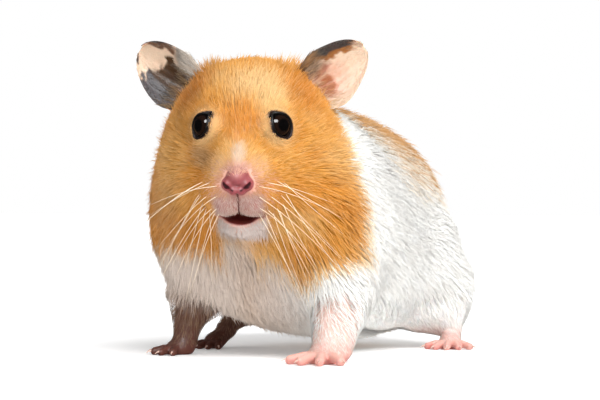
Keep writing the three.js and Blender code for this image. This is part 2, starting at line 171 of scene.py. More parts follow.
# ---------------------------------------------------------------- how deep the coat is
# Soft guard hair and underfur: thickest on the trunk and ruff, a millimetre or two on the face,
# and almost nothing on the muzzle, round the eyes and on the paws. The skin lies this far inside
# the outline, and the tips of the tufts reach back out to it.
EYE_RADIUS = 3.3
EYE_AT = np.array([8.0, 11.3, 5.5])  # of the left eye, in the head's axes
NOSE_TIP = np.array([0, 23.5, -4.0])
SHORTEST_COAT = 0.3


def ramp(value, low, high):
    """0 at low and 1 at high, with a smooth step between them."""
    t = np.clip((value - low) / (high - low), 0, 1)
    return t * t * (3 - 2 * t)


def mix(a, b, t):
    return a + (b - a) * t


def distance(q, at, r=(1, 1, 1)):
    """How far q is from a point, counted in an oval's radii where they are given."""
    return np.sqrt(sum(((q[k] - at[k]) / r[k]) ** 2 for k in range(3)))


def from_eye(l, f, u):
    return distance((np.abs(l), f, u), EYE_AT)


def lower_leg(x, z, high, low):
    """1 out on the legs below `low` mm, fading to 0 at `high` mm and towards the belly."""
    return ramp(z, high, low) * ramp(np.abs(x - STANCE[0]), 11, 16)


def coat_depth(x, y, z):
    l, f, u = head.local(x, y, z)
    on_head = SHORTEST_COAT + 2.3 * ramp(distance((l, f, u), NOSE_TIP), 6, 32)
    by_eye = SHORTEST_COAT + 0.35 * np.maximum(from_eye(l, f, u) - EYE_RADIUS, 0)
    by_mouth = SHORTEST_COAT + 0.25 * np.maximum(distance((l, f, u), (0, 19, -13)) - 4, 0)
    on_head = np.minimum(np.minimum(on_head, by_eye), by_mouth)
    on_body = mix(3.0, 4.2, ramp(z, 16, 34))
    on_leg = 0.2 + 2.2 * ramp(z, 3.5, 18)
    below = mix(on_body, on_leg, lower_leg(x, z, 18, 9))
    return mix(below, on_head, ramp(f, -20, -2) * ramp(z, 14, 26))


# ---------------------------------------------------------------- markings
# A golden and white coat: golden head and ruff with paler and deeper patches, a pale blaze above
# the nose, pale lips, a golden saddle over the back, a white chest, belly and flanks, and brown
# lower legs on the right, whose brown is partly painted shade. Painted shade also darkens the right
# side of the face, the chin, and the white low on the chest and belly. The same function colours
# the skin under the coat and every tuft.
GOLD = "E0A045"
DEEP_GOLD = "D5860F"
CREAM = "F2CE96"
WHITE = "FCFAF6"
GREY_BROWN = "A98B68"
TAN = "E0A768"
PINK = "E2A096"


def linear(code):
    """An sRGB hex colour as linear red, green and blue."""
    c = np.array([int(code[k:k + 2], 16) for k in (0, 2, 4)]) / 255
    return np.where(c <= 0.04045, c / 12.92, ((c + 0.055) / 1.055) ** 2.4)


def hashed(cells, seed):
    """A random number from 0 to 1 for each whole-number cell, the same on every run."""
    h = (cells[:, 0] * 73856093) ^ (cells[:, 1] * 19349663) ^ (cells[:, 2] * 83492791)
    h = ((h ^ (seed * 2654435761)) & 0xFFFFFFFF).astype(np.uint64)
    for shift, factor in ((16, 0x7FEB352D), (15, 0x846CA68B)):
        h = ((h ^ (h >> np.uint64(shift))) * np.uint64(factor)) & np.uint64(0xFFFFFFFF)
    return (h ^ (h >> np.uint64(16))).astype(float) / 4294967296.0


def mottle(points, size, seed):
    """Smooth random values from -1 to 1 that change over `size` mm."""
    q = points / size
    cell = np.floor(q).astype(np.int64)
    t = q - cell
    t = t * t * (3 - 2 * t)
    total = np.zeros(len(points))
    for corner in range(8):
        bits = np.array([corner & 1, corner >> 1 & 1, corner >> 2])
        weight = np.prod(np.where(bits, t, 1 - t), axis=1)
        total += weight * (hashed(cell + bits, seed) * 2 - 1)
    return total


def spot(q, at, r):
    """1 in the middle of an oval patch of the given radii, fading to 0 at its edge."""
    return ramp(distance(q, at, r), 1.0, 0.35)


def painter(colour):
    """A function that lays a hex colour over `colour`, as strongly as a weight says."""
    def paint(code, weight):
        colour[:] = mix(colour, linear(code), (np.clip(weight, 0, 1) * np.ones(len(colour)))[:, None])
    return paint


# How low the gold hangs on the ruff, in mm above the floor, from the right side to the left.
RUFF_X = (-25, -19.5, -16.6, -8, -3.5, 0.5, 4.2, 6.4, 9.5, 12.5, 16.5, 22, 27.4, 30)
RUFF_Z = (27, 26.5, 28, 27.5, 24.5, 29.0, 29.5, 22, 25, 21, 20, 22, 24, 26.5)


# Patches on the golden head: the colour and strength of each, and the place and radii of its oval
# in the head's axes.
HEAD_PATCHES = (
    (CREAM, 0.7, (4, 6, 12), (11, 11, 7)),  # forehead
    ("D98A14", 0.9, (0.5, 13, 7.5), (5.8, 8, 8.0)),  # between the eyes
    ("CC7D0C", 0.95, (12, 0, 10), (7, 10, 9)),  # by each ear, and round each eye
    (CREAM, 0.8, (8.4, 12, 5.2), (5.8, 6, 6.4)),
    ("CC7D0C", 0.95, (-12, 0, 10), (7, 10, 9)),
    (CREAM, 0.8, (-8.4, 12, 5.2), (5.8, 6, 6.4)),
    # painted shade: the grey-brown patch under the right eye and the darker patch low on the right cheek
    # stand for the shade on that side of the face
    (GREY_BROWN, 0.6, (-8.5, 14, -1.0), (5, 8, 4)),  # under the right eye
    ("B58452", 0.5, (-17, 0, -16), (8, 16, 16)),  # cheeks
    ("D8933A", 0.7, (14, 6, -3), (5, 8, 5)),
    ("C48D58", 0.75, (0, 21, -5), (10, 9, 8)),  # muzzle
    ("ECC9A2", 0.3, (4.6, 20, -1.5), (3.4, 6, 3.8)),
    ("ECC9A2", 0.3, (-4.6, 20, -1.5), (3.4, 6, 3.8)),
)


def upper_lip(l, f, u):
    """1 on the two puffs of the upper lip, where pink skin shows through short pale hair."""
    return ramp(f, 13, 17) * ramp(u, -5.8, -8.2) * ramp(u, -14.5, -13) * ramp(np.abs(l), 7.2, 4.8)


def brown_and_shaded_stocking(x, y, z):
    """1 on the two brown lower legs on the right, whose brown is partly painted shade from the body."""
    fore, hind = (np.abs(y - PAWS[name][0][1]) for name in ("forepaw_right", "hindpaw_right"))
    return ramp(x, -12, -15) * ramp(z, 20, 8.5) * ramp(np.minimum(fore, hind), 12, 7)


def markings(points):
    x, y, z = points.T
    l, f, u = head.local(x, y, z)
    q = (l, f, u)
    ragged = 1.6 * mottle(points, 6, 1) + 0.9 * mottle(points, 2.2, 2)
    broad, small = mottle(points, 8, 4), mottle(points, 3, 5)
    colour = np.tile(linear(WHITE), (len(points), 1))
    paint = painter(colour)
    # a golden saddle over the top of the back, with cream edges
    saddle = np.hypot((x + 2) / 23, (y - 19) / 28) + 0.06 * ragged + 0.1 * mottle(points, 11, 3)
    saddle = saddle + 0.5 * ramp(z, 44, 24)
    paint(CREAM, 0.6 * ramp(saddle, 1.22, 0.9))
    paint(TAN, ramp(saddle, 1.0, 0.86))
    # the golden head and ruff, hanging in ragged tufts on both sides of a pale throat
    lower_edge = np.interp(x, RUFF_X, RUFF_Z) + 0.9 * ragged
    behind = -20.5 + 5 * ramp(z, 52, 64) + ragged
    golden = ramp(y, behind + 1.3, behind - 1.3) * ramp(z, lower_edge - 1.5, lower_edge + 1.5)
    fringe = np.minimum(behind - y, z - lower_edge)
    paint(CREAM, 0.8 * ramp(fringe, -3.5, -0.5))
    paint(GOLD, golden)
    paint(CREAM, golden * 0.55 * ramp(fringe, 4.5, 0.5))
    low = ramp(u, -4, -16) * ramp(f, 15, 6)
    paint(DEEP_GOLD, golden * np.clip((0.25 + 0.6 * low) + 0.7 * broad + 0.4 * small, 0, 0.95))
    paint(CREAM, golden * 0.4 * np.clip(-broad + 0.5 * small, 0, 1) * (1 - 0.5 * low))
    for code, strength, at, r in HEAD_PATCHES:
        paint(code, golden * strength * spot(q, at, r))
    # pinkish by the nose, with a pale blaze above it, pale lips, and a chin greyed by painted shade
    beside_nose = nose_pad(l, f, u)
    paint("CE9480", golden * 0.7 * ramp(beside_nose, 2.8, 0.7))
    paint("E2C6AE", 0.9 * spot(q, (0, 20.6, 2.2), (2.6, 5, 3.8)))
    paint("D9A79B", 0.75 * ramp(beside_nose, 1.6, 0.4) * ramp(np.abs(l), 3.4, 2.0) * ramp(u, -3, -1.5))
    paint("C6A79E", upper_lip(l, f, u + 0.3 * ragged))
    chin = ramp(f, 14, 17) * ramp(u, -13.5, -14.5) * ramp(u, -20.5, -18.5)
    # painted shade: the chin is a greyed pink, as it lies in shade below the mouth
    paint("D9CBC5", chin * ramp(np.abs(l) + 0.3 * ragged, 6.8, 5.0))
    throat = ramp(u, -18.5, -20.5) * ramp(np.abs(l + 0.3) + 0.6 * ragged, 4.0, 1.2) * (f > -2)
    paint("E2C8B0", 0.75 * throat)
    # painted shade: the white is darkened to a warm dusky beige low on the chest and belly and towards
    # the right and the front, where the underside lies in shade
    paint("DFCABB", (1 - golden) * 0.75 * ramp(z, 40, 24) * ramp(x + 0.4 * y, 8, -6))
    # pink skin shows through the thin hair of the lower legs, and those on the right are brown,
    # partly as painted shade from the body above them
    paint("EDD3CB", 0.8 * lower_leg(x, z, 7, 2.5))
    paint("704A39", 0.97 * brown_and_shaded_stocking(x + ragged, y, z))
    return colour


# ---------------------------------------------------------------- skin
# One unbroken hide from the nose to the tail, lying under the coat. It is bare and pink on the
# nose, lips and paws, with nostrils, a cleft lip, a mouth a little open, and an opening for each
# eye. It is meshed on a grid from the outline less the coat, then refined on the face and paws.
SKIN_GRID = 0.75
WIDE_GRID = 1.15
NET_BAND = 5.0  # mm each side of the surface, where the grid is worked out in full
LID_THICKNESS = 0.45
CLEFT_DEPTH = 0.5
mouth = blend(
    0.5,
    ellipsoid([0, 20.3, -13.35], [3.9, 4.6, 1.7]),
    ellipsoid([0, 19.8, -13.2], [5.9, 5.0, 0.5]),
)
nose_pad = blend(
    0.7,
    ellipsoid([0, 23.0, -3.0], [2.4, 2.3, 1.9]),
    *(ellipsoid([s * 2.1, 23.7, -4.5], [1.4, 1.6, 1.4]) for s in (1, -1)),
    *(ellipsoid([s * 0.8, 24.3, -5.8], [1.1, 1.3, 1.0]) for s in (1, -1)),
)
nostrils = blend(
    0.2,
    *(limb([s * 1.05, 25.8, -5.4], [s * 2.5, 25.3, -4.7], 0.26, 0.38) for s in (1, -1)),
    *(limb([s * 2.5, 25.3, -4.7], [s * 3.2, 24.7, -3.9], 0.36, 0.22) for s in (1, -1)),
    limb([0, 26.0, -4.0], [0, 25.9, -5.8], 0.1, 0.16),
)
lip_pads = blend(
    0.8,
    *(ellipsoid([s * 2.7, 22.2, -9.9], [2.9, 2.5, 2.6]) for s in (1, -1)),
    limb([-4.2, 20.6, -15.9], [0, 21.4, -16.4], 0.8, 1.15),
    limb([4.2, 20.6, -15.9], [0, 21.4, -16.4], 0.8, 1.15),
)


def cleft(l, f, u):
    """The thin line that parts the upper lip, from the nose down to the mouth."""
    return np.maximum(np.abs(l) - 0.13, np.maximum(u + 6.4, -12.2 - u)) + 10 * (f < 15)


def unit(v):
    return v / np.maximum(np.linalg.norm(v, axis=-1, keepdims=True), 1e-9)


# The eye's own axes: the way it looks, and the long and the short way across its opening.
EYE_OUT = unit([0.66, 0.70, 0.27])
EYE_LONG = np.array([-0.42, 0.1, 0.9])
EYE_LONG = unit(EYE_LONG - EYE_OUT * (EYE_LONG @ EYE_OUT))
EYE_SHORT = np.cross(EYE_OUT, EYE_LONG)
LID_HALF_LONG = 3.35
LID_HALF_SHORT = 2.6


def eye_opening(l, f, u):
    """The gap between the lids: an oval column that runs outwards from the middle of the eye."""
    d = [np.abs(l) - EYE_AT[0], f - EYE_AT[1], u - EYE_AT[2]]
    eye_axes = (EYE_OUT, EYE_LONG, EYE_SHORT)
    out, long, short = (sum(d[k] * axis[k] for k in range(3)) for axis in eye_axes)
    half_short = LID_HALF_SHORT * (1 - 0.3 * np.clip(long / LID_HALF_LONG, -1, 1) ** 2)
    almond = np.sqrt((long / LID_HALF_LONG) ** 2 + (short / half_short) ** 2)
    flare = 0.5 * np.maximum(out - 2.8, 0)
    return np.maximum((almond - 1) * LID_HALF_SHORT - flare, 0.6 - out)


def toe_way(angle):
    """How far a toe at this angle points to the side and forwards."""
    return -math.sin(math.radians(angle)), math.cos(math.radians(angle))


def skin_field(x, y, z):
    d = outline(x, y, z) + coat_depth(x, y, z)
    l, f, u = head.local(x, y, z)
    d = smooth_min(d, from_eye(l, f, u) - EYE_RADIUS - LID_THICKNESS, 1.0)
    d = smooth_min(d, nose_pad(l, f, u), 0.6)
    d = smooth_min(d, lip_pads(l, f, u), 1.0)
    d = smooth_min(d, tail(x, y, z), 2.0)
    for cut, k in ((eye_opening(l, f, u), 0.3), (mouth(l, f, u), 0.8), (nostrils(l, f, u), 0.3),
                   (np.maximum(cleft(l, f, u), -d - CLEFT_DEPTH), 0.25)):
        d = -smooth_min(-d, cut, k)
    for name, (_, _, angles, near, far, r, _) in PAWS.items():
        a, b, c = paw_axes[name].local(x, y, z)
        for angle in angles:
            s, t = toe_way(angle)
            root = [s * near * 0.6, t * near * 0.6, r * 1.3]
            knuckle = [s * (near + far) * 0.45, t * (near + far) * 0.45, r * 1.25]
            tip = [s * far, t * far, r * 0.78]
            d = smooth_min(d, limb(root, knuckle, r * 0.95, r * 0.9)(a, b, c), 0.5)
            d = smooth_min(d, limb(knuckle, tip, r * 0.9, r * 0.85)(a, b, c), 0.4)
    return np.maximum(d, 0.02 - z)


def project(field, points, passes, reach):
    """Moves points straight onto the field's surface, but never further than `reach` mm."""
    moved = points.copy()
    e = 0.04
    for _ in range(passes):
        d = field(*moved.T)
        slope = np.stack([(field(*(moved + step).T) - d) / e for step in np.eye(3) * e], axis=1)
        steep = np.maximum((slope ** 2).sum(axis=1), 0.2)
        moved -= slope * (np.clip(d, -1, 1) / steep)[:, None]
    gap = moved - points
    length = np.maximum(np.linalg.norm(gap, axis=1, keepdims=True), 1e-9)
    return points + gap * np.minimum(1, reach / length)


def grid_lines(low, high, spacing):
    lines = [low]
    while lines[-1] < high:
        lines.append(lines[-1] + float(spacing(lines[-1])))
    return np.array(lines)


def stretched(values, old, new, axis):
    k = np.clip(np.searchsorted(old, new) - 1, 0, len(old) - 2)
    shape = [1, 1, 1]
    shape[axis] = -1
    t = ((new - old[k]) / (old[k + 1] - old[k])).reshape(shape)
    return mix(np.take(values, k, axis), np.take(values, k + 1, axis), t)


def surface_net(field, lines, band):
    """One vertex in each grid cell that the surface crosses, joined by a quad round each edge."""
    coarse = [np.unique(np.append(line[::4], line[-1])) for line in lines]
    corners = np.meshgrid(*coarse, indexing="ij")
    values = field(*(c.ravel() for c in corners)).reshape(corners[0].shape)
    for axis in range(3):
        values = stretched(values, coarse[axis], lines[axis], axis)
    near = np.nonzero(np.abs(values) < band)
    values[near] = field(*(lines[k][near[k]] for k in range(3)))
    inside = values < 0
    cells = tuple(n - 1 for n in values.shape)
    total, count = np.zeros((3,) + cells), np.zeros(cells)
    for axis in range(3):
        u, w = (axis + 1) % 3, (axis + 2) % 3
        for p in (0, 1):
            for q in (0, 1):
                start = [0, 0, 0]
                start[u], start[w] = p, q
                here = tuple(slice(s, s + n) for s, n in zip(start, cells))
                start[axis] = 1
                there = tuple(slice(s, s + n) for s, n in zip(start, cells))
                crossed = inside[here] != inside[there]
                gap = np.where(crossed, values[here] - values[there], 1)
                total[axis] += crossed * values[here] / gap
                total[u] += crossed * p
                total[w] += crossed * q
                count += crossed
    used = np.nonzero(count)
    number = np.full(cells, -1)
    number[used] = np.arange(len(used[0]))
    points = np.stack([lines[k][used[k]] + total[k][used] / count[used] * np.diff(lines[k])[used[k]]
                       for k in range(3)], axis=1)
    quads = []
    for axis in range(3):
        u, w = (axis + 1) % 3, (axis + 2) % 3
        first = [slice(1, -1)] * 3
        second = [slice(1, -1)] * 3
        first[axis], second[axis] = slice(0, -1), slice(1, None)
        for outward in (True, False):
            ends = inside[tuple(first)], inside[tuple(second)]
            edge = np.nonzero(ends[0] & ~ends[1] if outward else ~ends[0] & ends[1])
            at = [edge[k] + (k != axis) for k in range(3)]
            ring = []
            for p, q in ((0, 0), (1, 0), (1, 1), (0, 1)):
                cell = list(at)
                cell[u], cell[w] = at[u] - 1 + p, at[w] - 1 + q
                ring.append(number[tuple(cell)])
            quads.append(np.stack(ring if outward else ring[::-1], axis=1))
    return points, np.concatenate(quads)


def metres(points):
    return (points - STANCE) * 0.001


def placed(name, data):
    """A new object with this mesh, lamp or camera, in the scene."""
    made = bpy.data.objects.new(name, data)
    bpy.context.scene.collection.objects.link(made)
    return made


def mesh_from(name, points, faces):
    """A mesh made at once from millimetre points and lists of faces that each have one size."""
    mesh = bpy.data.meshes.new(name)
    mesh.vertices.add(len(points))
    mesh.vertices.foreach_set("co", metres(points).astype(np.float32).ravel())
    sizes = np.concatenate([np.full(len(f), f.shape[1]) for f in faces])
    mesh.loops.add(int(sizes.sum()))
    mesh.loops.foreach_set("vertex_index", np.concatenate([f.ravel() for f in faces]).astype(np.int32))
    mesh.polygons.add(len(sizes))
    mesh.polygons.foreach_set("loop_start", np.concatenate([[0], np.cumsum(sizes)[:-1]]).astype(np.int32))
    mesh.polygons.foreach_set("use_smooth", np.full(len(sizes), True))
    mesh.update(calc_edges=True)
    return placed(name, mesh)


def colour_points(piece, colours):
    layer = piece.data.attributes.new("Colour", "FLOAT_COLOR", "POINT")
    rgba = np.ones((len(colours), 4), np.float32)
    rgba[:, :3] = colours
    layer.data.foreach_set("color", rgba.ravel())


def rows_between(z):
    """How far apart the grid's levels are: wider over the flanks, where the coat hides the skin."""
    return mix(SKIN_GRID, WIDE_GRID, ramp(z, 8, 12) * ramp(z, 36, 30))


hide_points, hide_quads = surface_net(
    skin_field,
    [
        grid_lines(-36, 40, lambda v: SKIN_GRID),
        grid_lines(-56, 58, lambda v: SKIN_GRID),
        grid_lines(-1.2, 78, rows_between),
    ],
    NET_BAND,
)
hide_points = project(skin_field, hide_points, 3, 0.4 * SKIN_GRID)
hide = mesh_from("skin", hide_points, [hide_quads])


def is_face_or_paw(points):
    """Where the skin has fine shapes: the face, and the paws below the wrist."""
    l, f, u = head.local(*points.T)
    fine = (f > 5) & (u > -19) & (u < 10) & (np.abs(l) < 15)
    for name, (at, *_) in PAWS.items():
        away = np.hypot(points[:, 0] - at[0], points[:, 1] - at[1])
        fine |= (away < 11) & (points[:, 2] < 5.5)
    return fine


def is_lid_or_lip(points):
    """Where it has the finest: the lids, the nose and the mouth."""
    l, f, u = head.local(*points.T)
    nose_and_lip = (f > 18) & (np.abs(l) < 5.5) & (u > -16) & (u < 1)
    return (from_eye(l, f, u) < 4.9) | nose_and_lip | (mouth(l, f, u) < 0.8)


def places_of(mesh):
    co = np.empty(len(mesh.vertices) * 3)
    mesh.vertices.foreach_get("co", co)
    return co.reshape(-1, 3) * 1000 + STANCE


for region, reach in ((is_face_or_paw, 0.25), (is_lid_or_lip, 0.12)):
    work = bmesh.new()
    work.from_mesh(hide.data)
    middles = np.array([face.calc_center_median() for face in work.faces]) * 1000 + STANCE
    work.faces.ensure_lookup_table()
    edges = {edge for k in np.nonzero(region(middles))[0] for edge in work.faces[k].edges}
    edges = sorted(edges, key=lambda edge: edge.index)
    bmesh.ops.subdivide_edges(work, edges=edges, cuts=1, use_grid_fill=True)
    bmesh.ops.triangulate(work, faces=[face for face in work.faces if len(face.verts) > 4])
    work.to_mesh(hide.data)
    work.free()
    hide_points = places_of(hide.data)
    fine = region(hide_points)
    hide_points[fine] = project(skin_field, hide_points[fine], 2, reach)
    hide.data.vertices.foreach_set("co", metres(hide_points).ravel())
hide.data.update()


def skin_colour(points):
    """Pink flesh where it is bare, and the coat's own markings, a little deeper, under the hair,
    with painted shade in the nostrils, in the cleft of the lip and on the right paws.
    """
    x, y, z = points.T
    l, f, u = head.local(x, y, z)
    colour = markings(points) * 0.82
    paint = painter(colour)
    opening, lips, nostril = eye_opening(l, f, u), mouth(l, f, u), nostrils(l, f, u)
    blotch = 0.5 + 0.5 * mottle(points, 2.5, 11)
    paint("E3AE9C", 0.7 * ramp(NOSE_TIP[1] - f, 7, 3) * ramp(u, 2, -2))
    paint("A57A4E", ramp(opening, 1.2, 0.4) * (f > 4))
    by_ball = ramp(from_eye(l, f, u), EYE_RADIUS + 2.5, EYE_RADIUS + 1.5)
    paint("2A1C1B", ramp(opening, 0.55, 0.35) * by_ball)
    paint("B58078", upper_lip(l, f, u))
    paint("964E51", ramp(nose_pad(l, f, u), 0.6, 0.1))
    paint("B0716B", 0.75 * spot((l, f, u), (0, 24, -1.4), (2.8, 3, 2.2)))
    paint("8E3F47", 0.8 * ramp(nostril, 0.6, 0.15))
    # painted shade: the walls inside each nostril are made nearly black, for the shade in the hole
    paint("3A0F14", ramp(nostril, 0.26, 0.08) * (f > 20))
    # painted shade: the crease of the cleft lip is darkened along its length
    paint("7B4A45", ramp(cleft(l, f, u), 0.22, 0.08))
    paint("A8645C", ramp(lips, 0.5, 0.1) * (f > 8))
    paint("A0564E", ramp(lips, 0.15, 0.0) * ramp(f, 23.5, 21.5) * (f > 8))
    paint("7A342D", ramp(lips, 0.15, 0.0) * ramp(f, 21.5, 18.5) * (f > 8))
    paw = ramp(z, 6.0, 3.2) * ramp(np.abs(x - STANCE[0]), 10, 14)
    paint("DCAA9E", paw * (0.75 + 0.25 * blotch))
    paint("CC7D76", paw * ramp(z, 2.4, 0.6) * blotch)
    # painted shade: the skin of the right paws is darkened to a deep brown
    paint("5C352B", 0.97 * brown_and_shaded_stocking(x, y, z) * ramp(z, 8, 4))
    paint(PINK, ramp(y, 46, 48.5))
    return colour


# ---------------------------------------------------------------- ears
# Thin cupped leaves of nearly bare skin, pink and cream inside with a few folds at the root and a
# dark rolled rim along the top edge, brown and grey outside. Both grow out of the skin.
EAR_LENGTH = 16.0
EAR_WIDTH = 15.0
EAR_THICKNESS = 0.62
EAR_CUP = 3.4
EAR_LEAN = 1.5
EAR_FOOT = -0.16  # how far the leaf reaches into the head, as a share of its length
EAR_TOP = 0.985
EAR_COLUMNS = 60
EAR_ROWS = 44
EAR_ROOT = np.array([15.2, -6.4, 9.2])
EAR_ACROSS = unit([-0.54, -0.1, 0.84])
EAR_UP = unit([0.8, -0.42, 0.42])
EAR_FACING = unit(np.cross(EAR_ACROSS, EAR_UP))


def ear_points(side, across, up, off):
    """Across runs from -1 at the lower root to 1 at the upper root, and up from 0 to 1 at the tip."""
    rise = np.clip(up, 0, 0.99)
    half = EAR_WIDTH / 2 * (1 - rise ** 2.8) ** 0.6 * (1 - 0.22 * ramp(up, 0.28, -0.16))
    half = half * (1 - (0.13 if side > 0 else 0.04) * ramp(-across, 0, 0.8) * ramp(up, 0.25, 0.75))
    cup = EAR_CUP * (across ** 2 * (1 - rise ** 2) - 0.75 * (1 - rise) + 0.25 * rise ** 3)
    ridge = np.exp(-((across - 0.12 - 0.35 * up) / 0.13) ** 2) * ramp(up, 0.62, 0.15)
    fold = np.exp(-((across + 0.3 + 0.25 * up) / 0.16) ** 2) * ramp(up, 0.5, 0.1)
    roll = 0.75 * ramp(across, 0.72, 1.0) * ramp(up, 0.05, 0.3) + 0.25 * ramp(-across, 0.8, 1.0)
    crease = 0.07 * np.sin(across * 23 + up * 6) * ramp(up, 0.9, 0.3)
    out = cup + 0.9 * ridge + 0.55 * fold + roll + crease + off
    p = (EAR_ROOT + (EAR_LEAN * rise ** 2 + across * half)[:, None] * EAR_ACROSS
         + (up * EAR_LENGTH)[:, None] * EAR_UP + out[:, None] * EAR_FACING)
    return head.place(p * [side, 1, 1])


def ear_colours(side, across, up, inner):
    sheet = np.stack([across * 8, up * 16, np.full(len(up), inner * 30 + side * 90)], axis=1)
    grain, fine = mottle(sheet, 2.0, 21), mottle(sheet, 0.8, 22)
    a, b = across + 0.1 * grain + 0.05 * fine, up + 0.06 * grain + 0.04 * fine
    colour = np.tile(linear("DCC0A6"), (len(across), 1))
    paint = painter(colour)

    def patch(at, r):
        return ramp(np.hypot((a - at[0]) / r[0], (b - at[1]) / r[1]), 1.0, 0.5)

    if side > 0:
        band = a + 0.4 * b
        paint("D9AA92", inner * 0.8 * patch((-0.1, 0.26), (0.8, 0.44)))
        # partly painted shade: the pink of the thin skin is deepened to reddish brown in the hollow at
        # the root
        paint("B3673F", inner * 0.9 * patch((-0.22, 0.2), (0.4, 0.2)))
        paint("A85E44", inner * 0.8 * patch((0.3, 0.16), (0.16, 0.3)))
        paint("AD7A62", inner * 0.7 * patch((0.45, 0.04), (0.3, 0.16)))
        paint("9A6232", inner * ramp(band, 0.66, 0.74) * ramp(b, 0.93, 0.78))
        paint("4A413E", inner * ramp(band, 0.88, 0.98) * ramp(b, 0.9, 0.78))
        paint("8A7468", (1 - inner) * 0.85)
        paint("5F5350", (1 - inner) * ramp(a, 0.2, 0.8))
    else:
        below = inner * ramp(b + 0.1 * a, 0.64, 0.58) * ramp(a, 0.52, 0.4)
        paint("4E3218", below)
        paint("462D1A", 0.85 * below * patch((-0.15, 0.26), (0.45, 0.26)))
        paint("332A2E", below * ramp(a, -0.36, -0.56))
        paint("7F5630", 0.6 * below * patch((-0.4, 0.08), (0.5, 0.14)))
        paint("9A9087", inner * patch((0.78, 0.2), (0.4, 0.32)))
        paint("6E4F3C", inner * ramp(a, 0.62, 0.72) * patch((0.75, 0.68), (0.4, 0.28)))
        paint("484140", inner * ramp(a, 0.86, 0.95) * ramp(b, 0.3, 0.5))
        paint("3A271F", inner * patch((-0.88, 0.93), (0.22, 0.06)))
        paint("7F6A60", (1 - inner) * 0.9)
        paint("4D423F", (1 - inner) * ramp(a, 0.3, 0.85))
    return colour


def ear_shell(side):
    """Front and back sheets that meet at the rim, closed off inside the head at the root."""
    columns, rows = EAR_COLUMNS, EAR_ROWS
    across = np.sin(np.linspace(-1.45, 1.45, columns + 1)) / math.sin(1.45)
    up = EAR_FOOT + (EAR_TOP - EAR_FOOT) * np.sin(np.linspace(0, 1, rows + 1) * math.pi / 2)
    across, up = (g.ravel() for g in np.meshgrid(across, up))
    edge = np.sqrt(np.clip((1 - across ** 10) * (1 - np.clip(up / EAR_TOP, 0, 1) ** 14), 0, 1))
    points, colours = [], []
    for inner in (1, 0):
        off = (inner - 0.5) * EAR_THICKNESS * edge
        points.append(ear_points(side, across, up, off))
        colours.append(ear_colours(side, across, up, inner))
    grid = np.arange((rows + 1) * (columns + 1)).reshape(rows + 1, columns + 1)
    quads = np.stack([grid[:-1, :-1], grid[:-1, 1:], grid[1:, 1:], grid[1:, :-1]], axis=-1).reshape(-1, 4)
    back = grid.size
    foot = np.stack([grid[0, :-1], grid[0, :-1] + back, grid[0, 1:] + back, grid[0, 1:]], axis=1)
    quads = np.concatenate([quads, quads[:, ::-1] + back, foot])
    return np.concatenate(points), quads[:, ::-1] if side > 0 else quads, np.concatenate(colours)


# ---------------------------------------------------------------- eyelids
# Each eye has a thin dark wet rim all round its opening, a soft roll of skin that rests on the
# eyeball. It follows the almond of the opening and is paler towards the lower corner.
RIM_RADIUS = 0.28
RIM_GAP = 0.2  # of the middle of the rim from the eyeball
RIM_INSIDE = 0.96  # how far out it runs, as a share of the opening
RIM_STEPS = 56
RIM_SIDES = 8


def tube(path, radii, sides, normal_hint, closed=False):
    """Rings of points round a path, joined by quads, with a flat cap on each end of an open one."""
    ahead = unit(np.roll(path, -1, 0) - np.roll(path, 1, 0) if closed else np.gradient(path, axis=0))
    one = unit(np.cross(ahead, normal_hint))
    two = np.cross(ahead, one)
    turn = np.arange(sides) / sides * 2 * math.pi
    ring = np.cos(turn)[None, :, None] * one[:, None] + np.sin(turn)[None, :, None] * two[:, None]
    points = path[:, None] + ring * np.asarray(radii)[:, None, None]
    grid = np.arange(len(path) * sides).reshape(len(path), sides)
    lower, upper = (grid, np.roll(grid, -1, 0)) if closed else (grid[:-1], grid[1:])
    quads = np.stack([lower, np.roll(lower, -1, 1), np.roll(upper, -1, 1), upper], axis=-1).reshape(-1, 4)
    if not closed:
        cap = np.array([[0, k, k + 1, k + 2] for k in range(1, sides - 2, 2)])
        quads = np.concatenate([quads, cap[:, ::-1], cap + grid[-1, 0]])
    return points.reshape(-1, 3), quads


def lid_rim(side):
    turn = np.linspace(0, 2 * math.pi, RIM_STEPS, endpoint=False)
    narrow = np.sin(turn) * (1 - 0.3 * np.cos(turn) ** 2)
    flat = RIM_INSIDE * (np.cos(turn)[:, None] * EYE_LONG * LID_HALF_LONG
                         + narrow[:, None] * EYE_SHORT * LID_HALF_SHORT)
    out = np.sqrt((EYE_RADIUS + RIM_GAP) ** 2 - (flat ** 2).sum(axis=1))
    path = EYE_AT + flat + out[:, None] * EYE_OUT
    radii = RIM_RADIUS + 0.05 * np.cos(turn)
    points, quads = tube(path, radii, RIM_SIDES, path - EYE_AT, closed=True)
    low = ramp(points @ EYE_LONG - EYE_AT @ EYE_LONG, -1.2, -3.0)
    colour = mix(linear("0D0908"), linear("241815"), low[:, None])
    return head.place(points * [side, 1, 1]), quads[:, ::-1] if side > 0 else quads, colour


# ---------------------------------------------------------------- the skin as one piece
# The hide, the ears and the rims of the lids are joined into one mesh, as they are on the living
# animal. One material covers it, coloured by the points.
hide_quads = np.array([face.vertices for face in hide.data.polygons if len(face.vertices) == 4])
hide_tris = np.array([face.vertices for face in hide.data.polygons if len(face.vertices) == 3])


def joined(parts):
    """The points and the faces of several parts as one list of each."""
    before = np.cumsum([0] + [len(points) for points, _ in parts])
    return (np.concatenate([points for points, _ in parts]),
            np.concatenate([faces + start for (_, faces), start in zip(parts, before)]))


skin_parts, skin_colours = [(hide_points, hide_quads)], [skin_colour(hide_points)]
for side in (1, -1):
    for points, quads, colours in (ear_shell(side), lid_rim(side)):
        skin_parts.append((points, quads))
        skin_colours.append(colours)
bpy.data.objects.remove(hide)
skin_points, skin_quads = joined(skin_parts)
skin = mesh_from("skin", skin_points, [skin_quads, hide_tris])
colour_points(skin, np.concatenate(skin_colours))


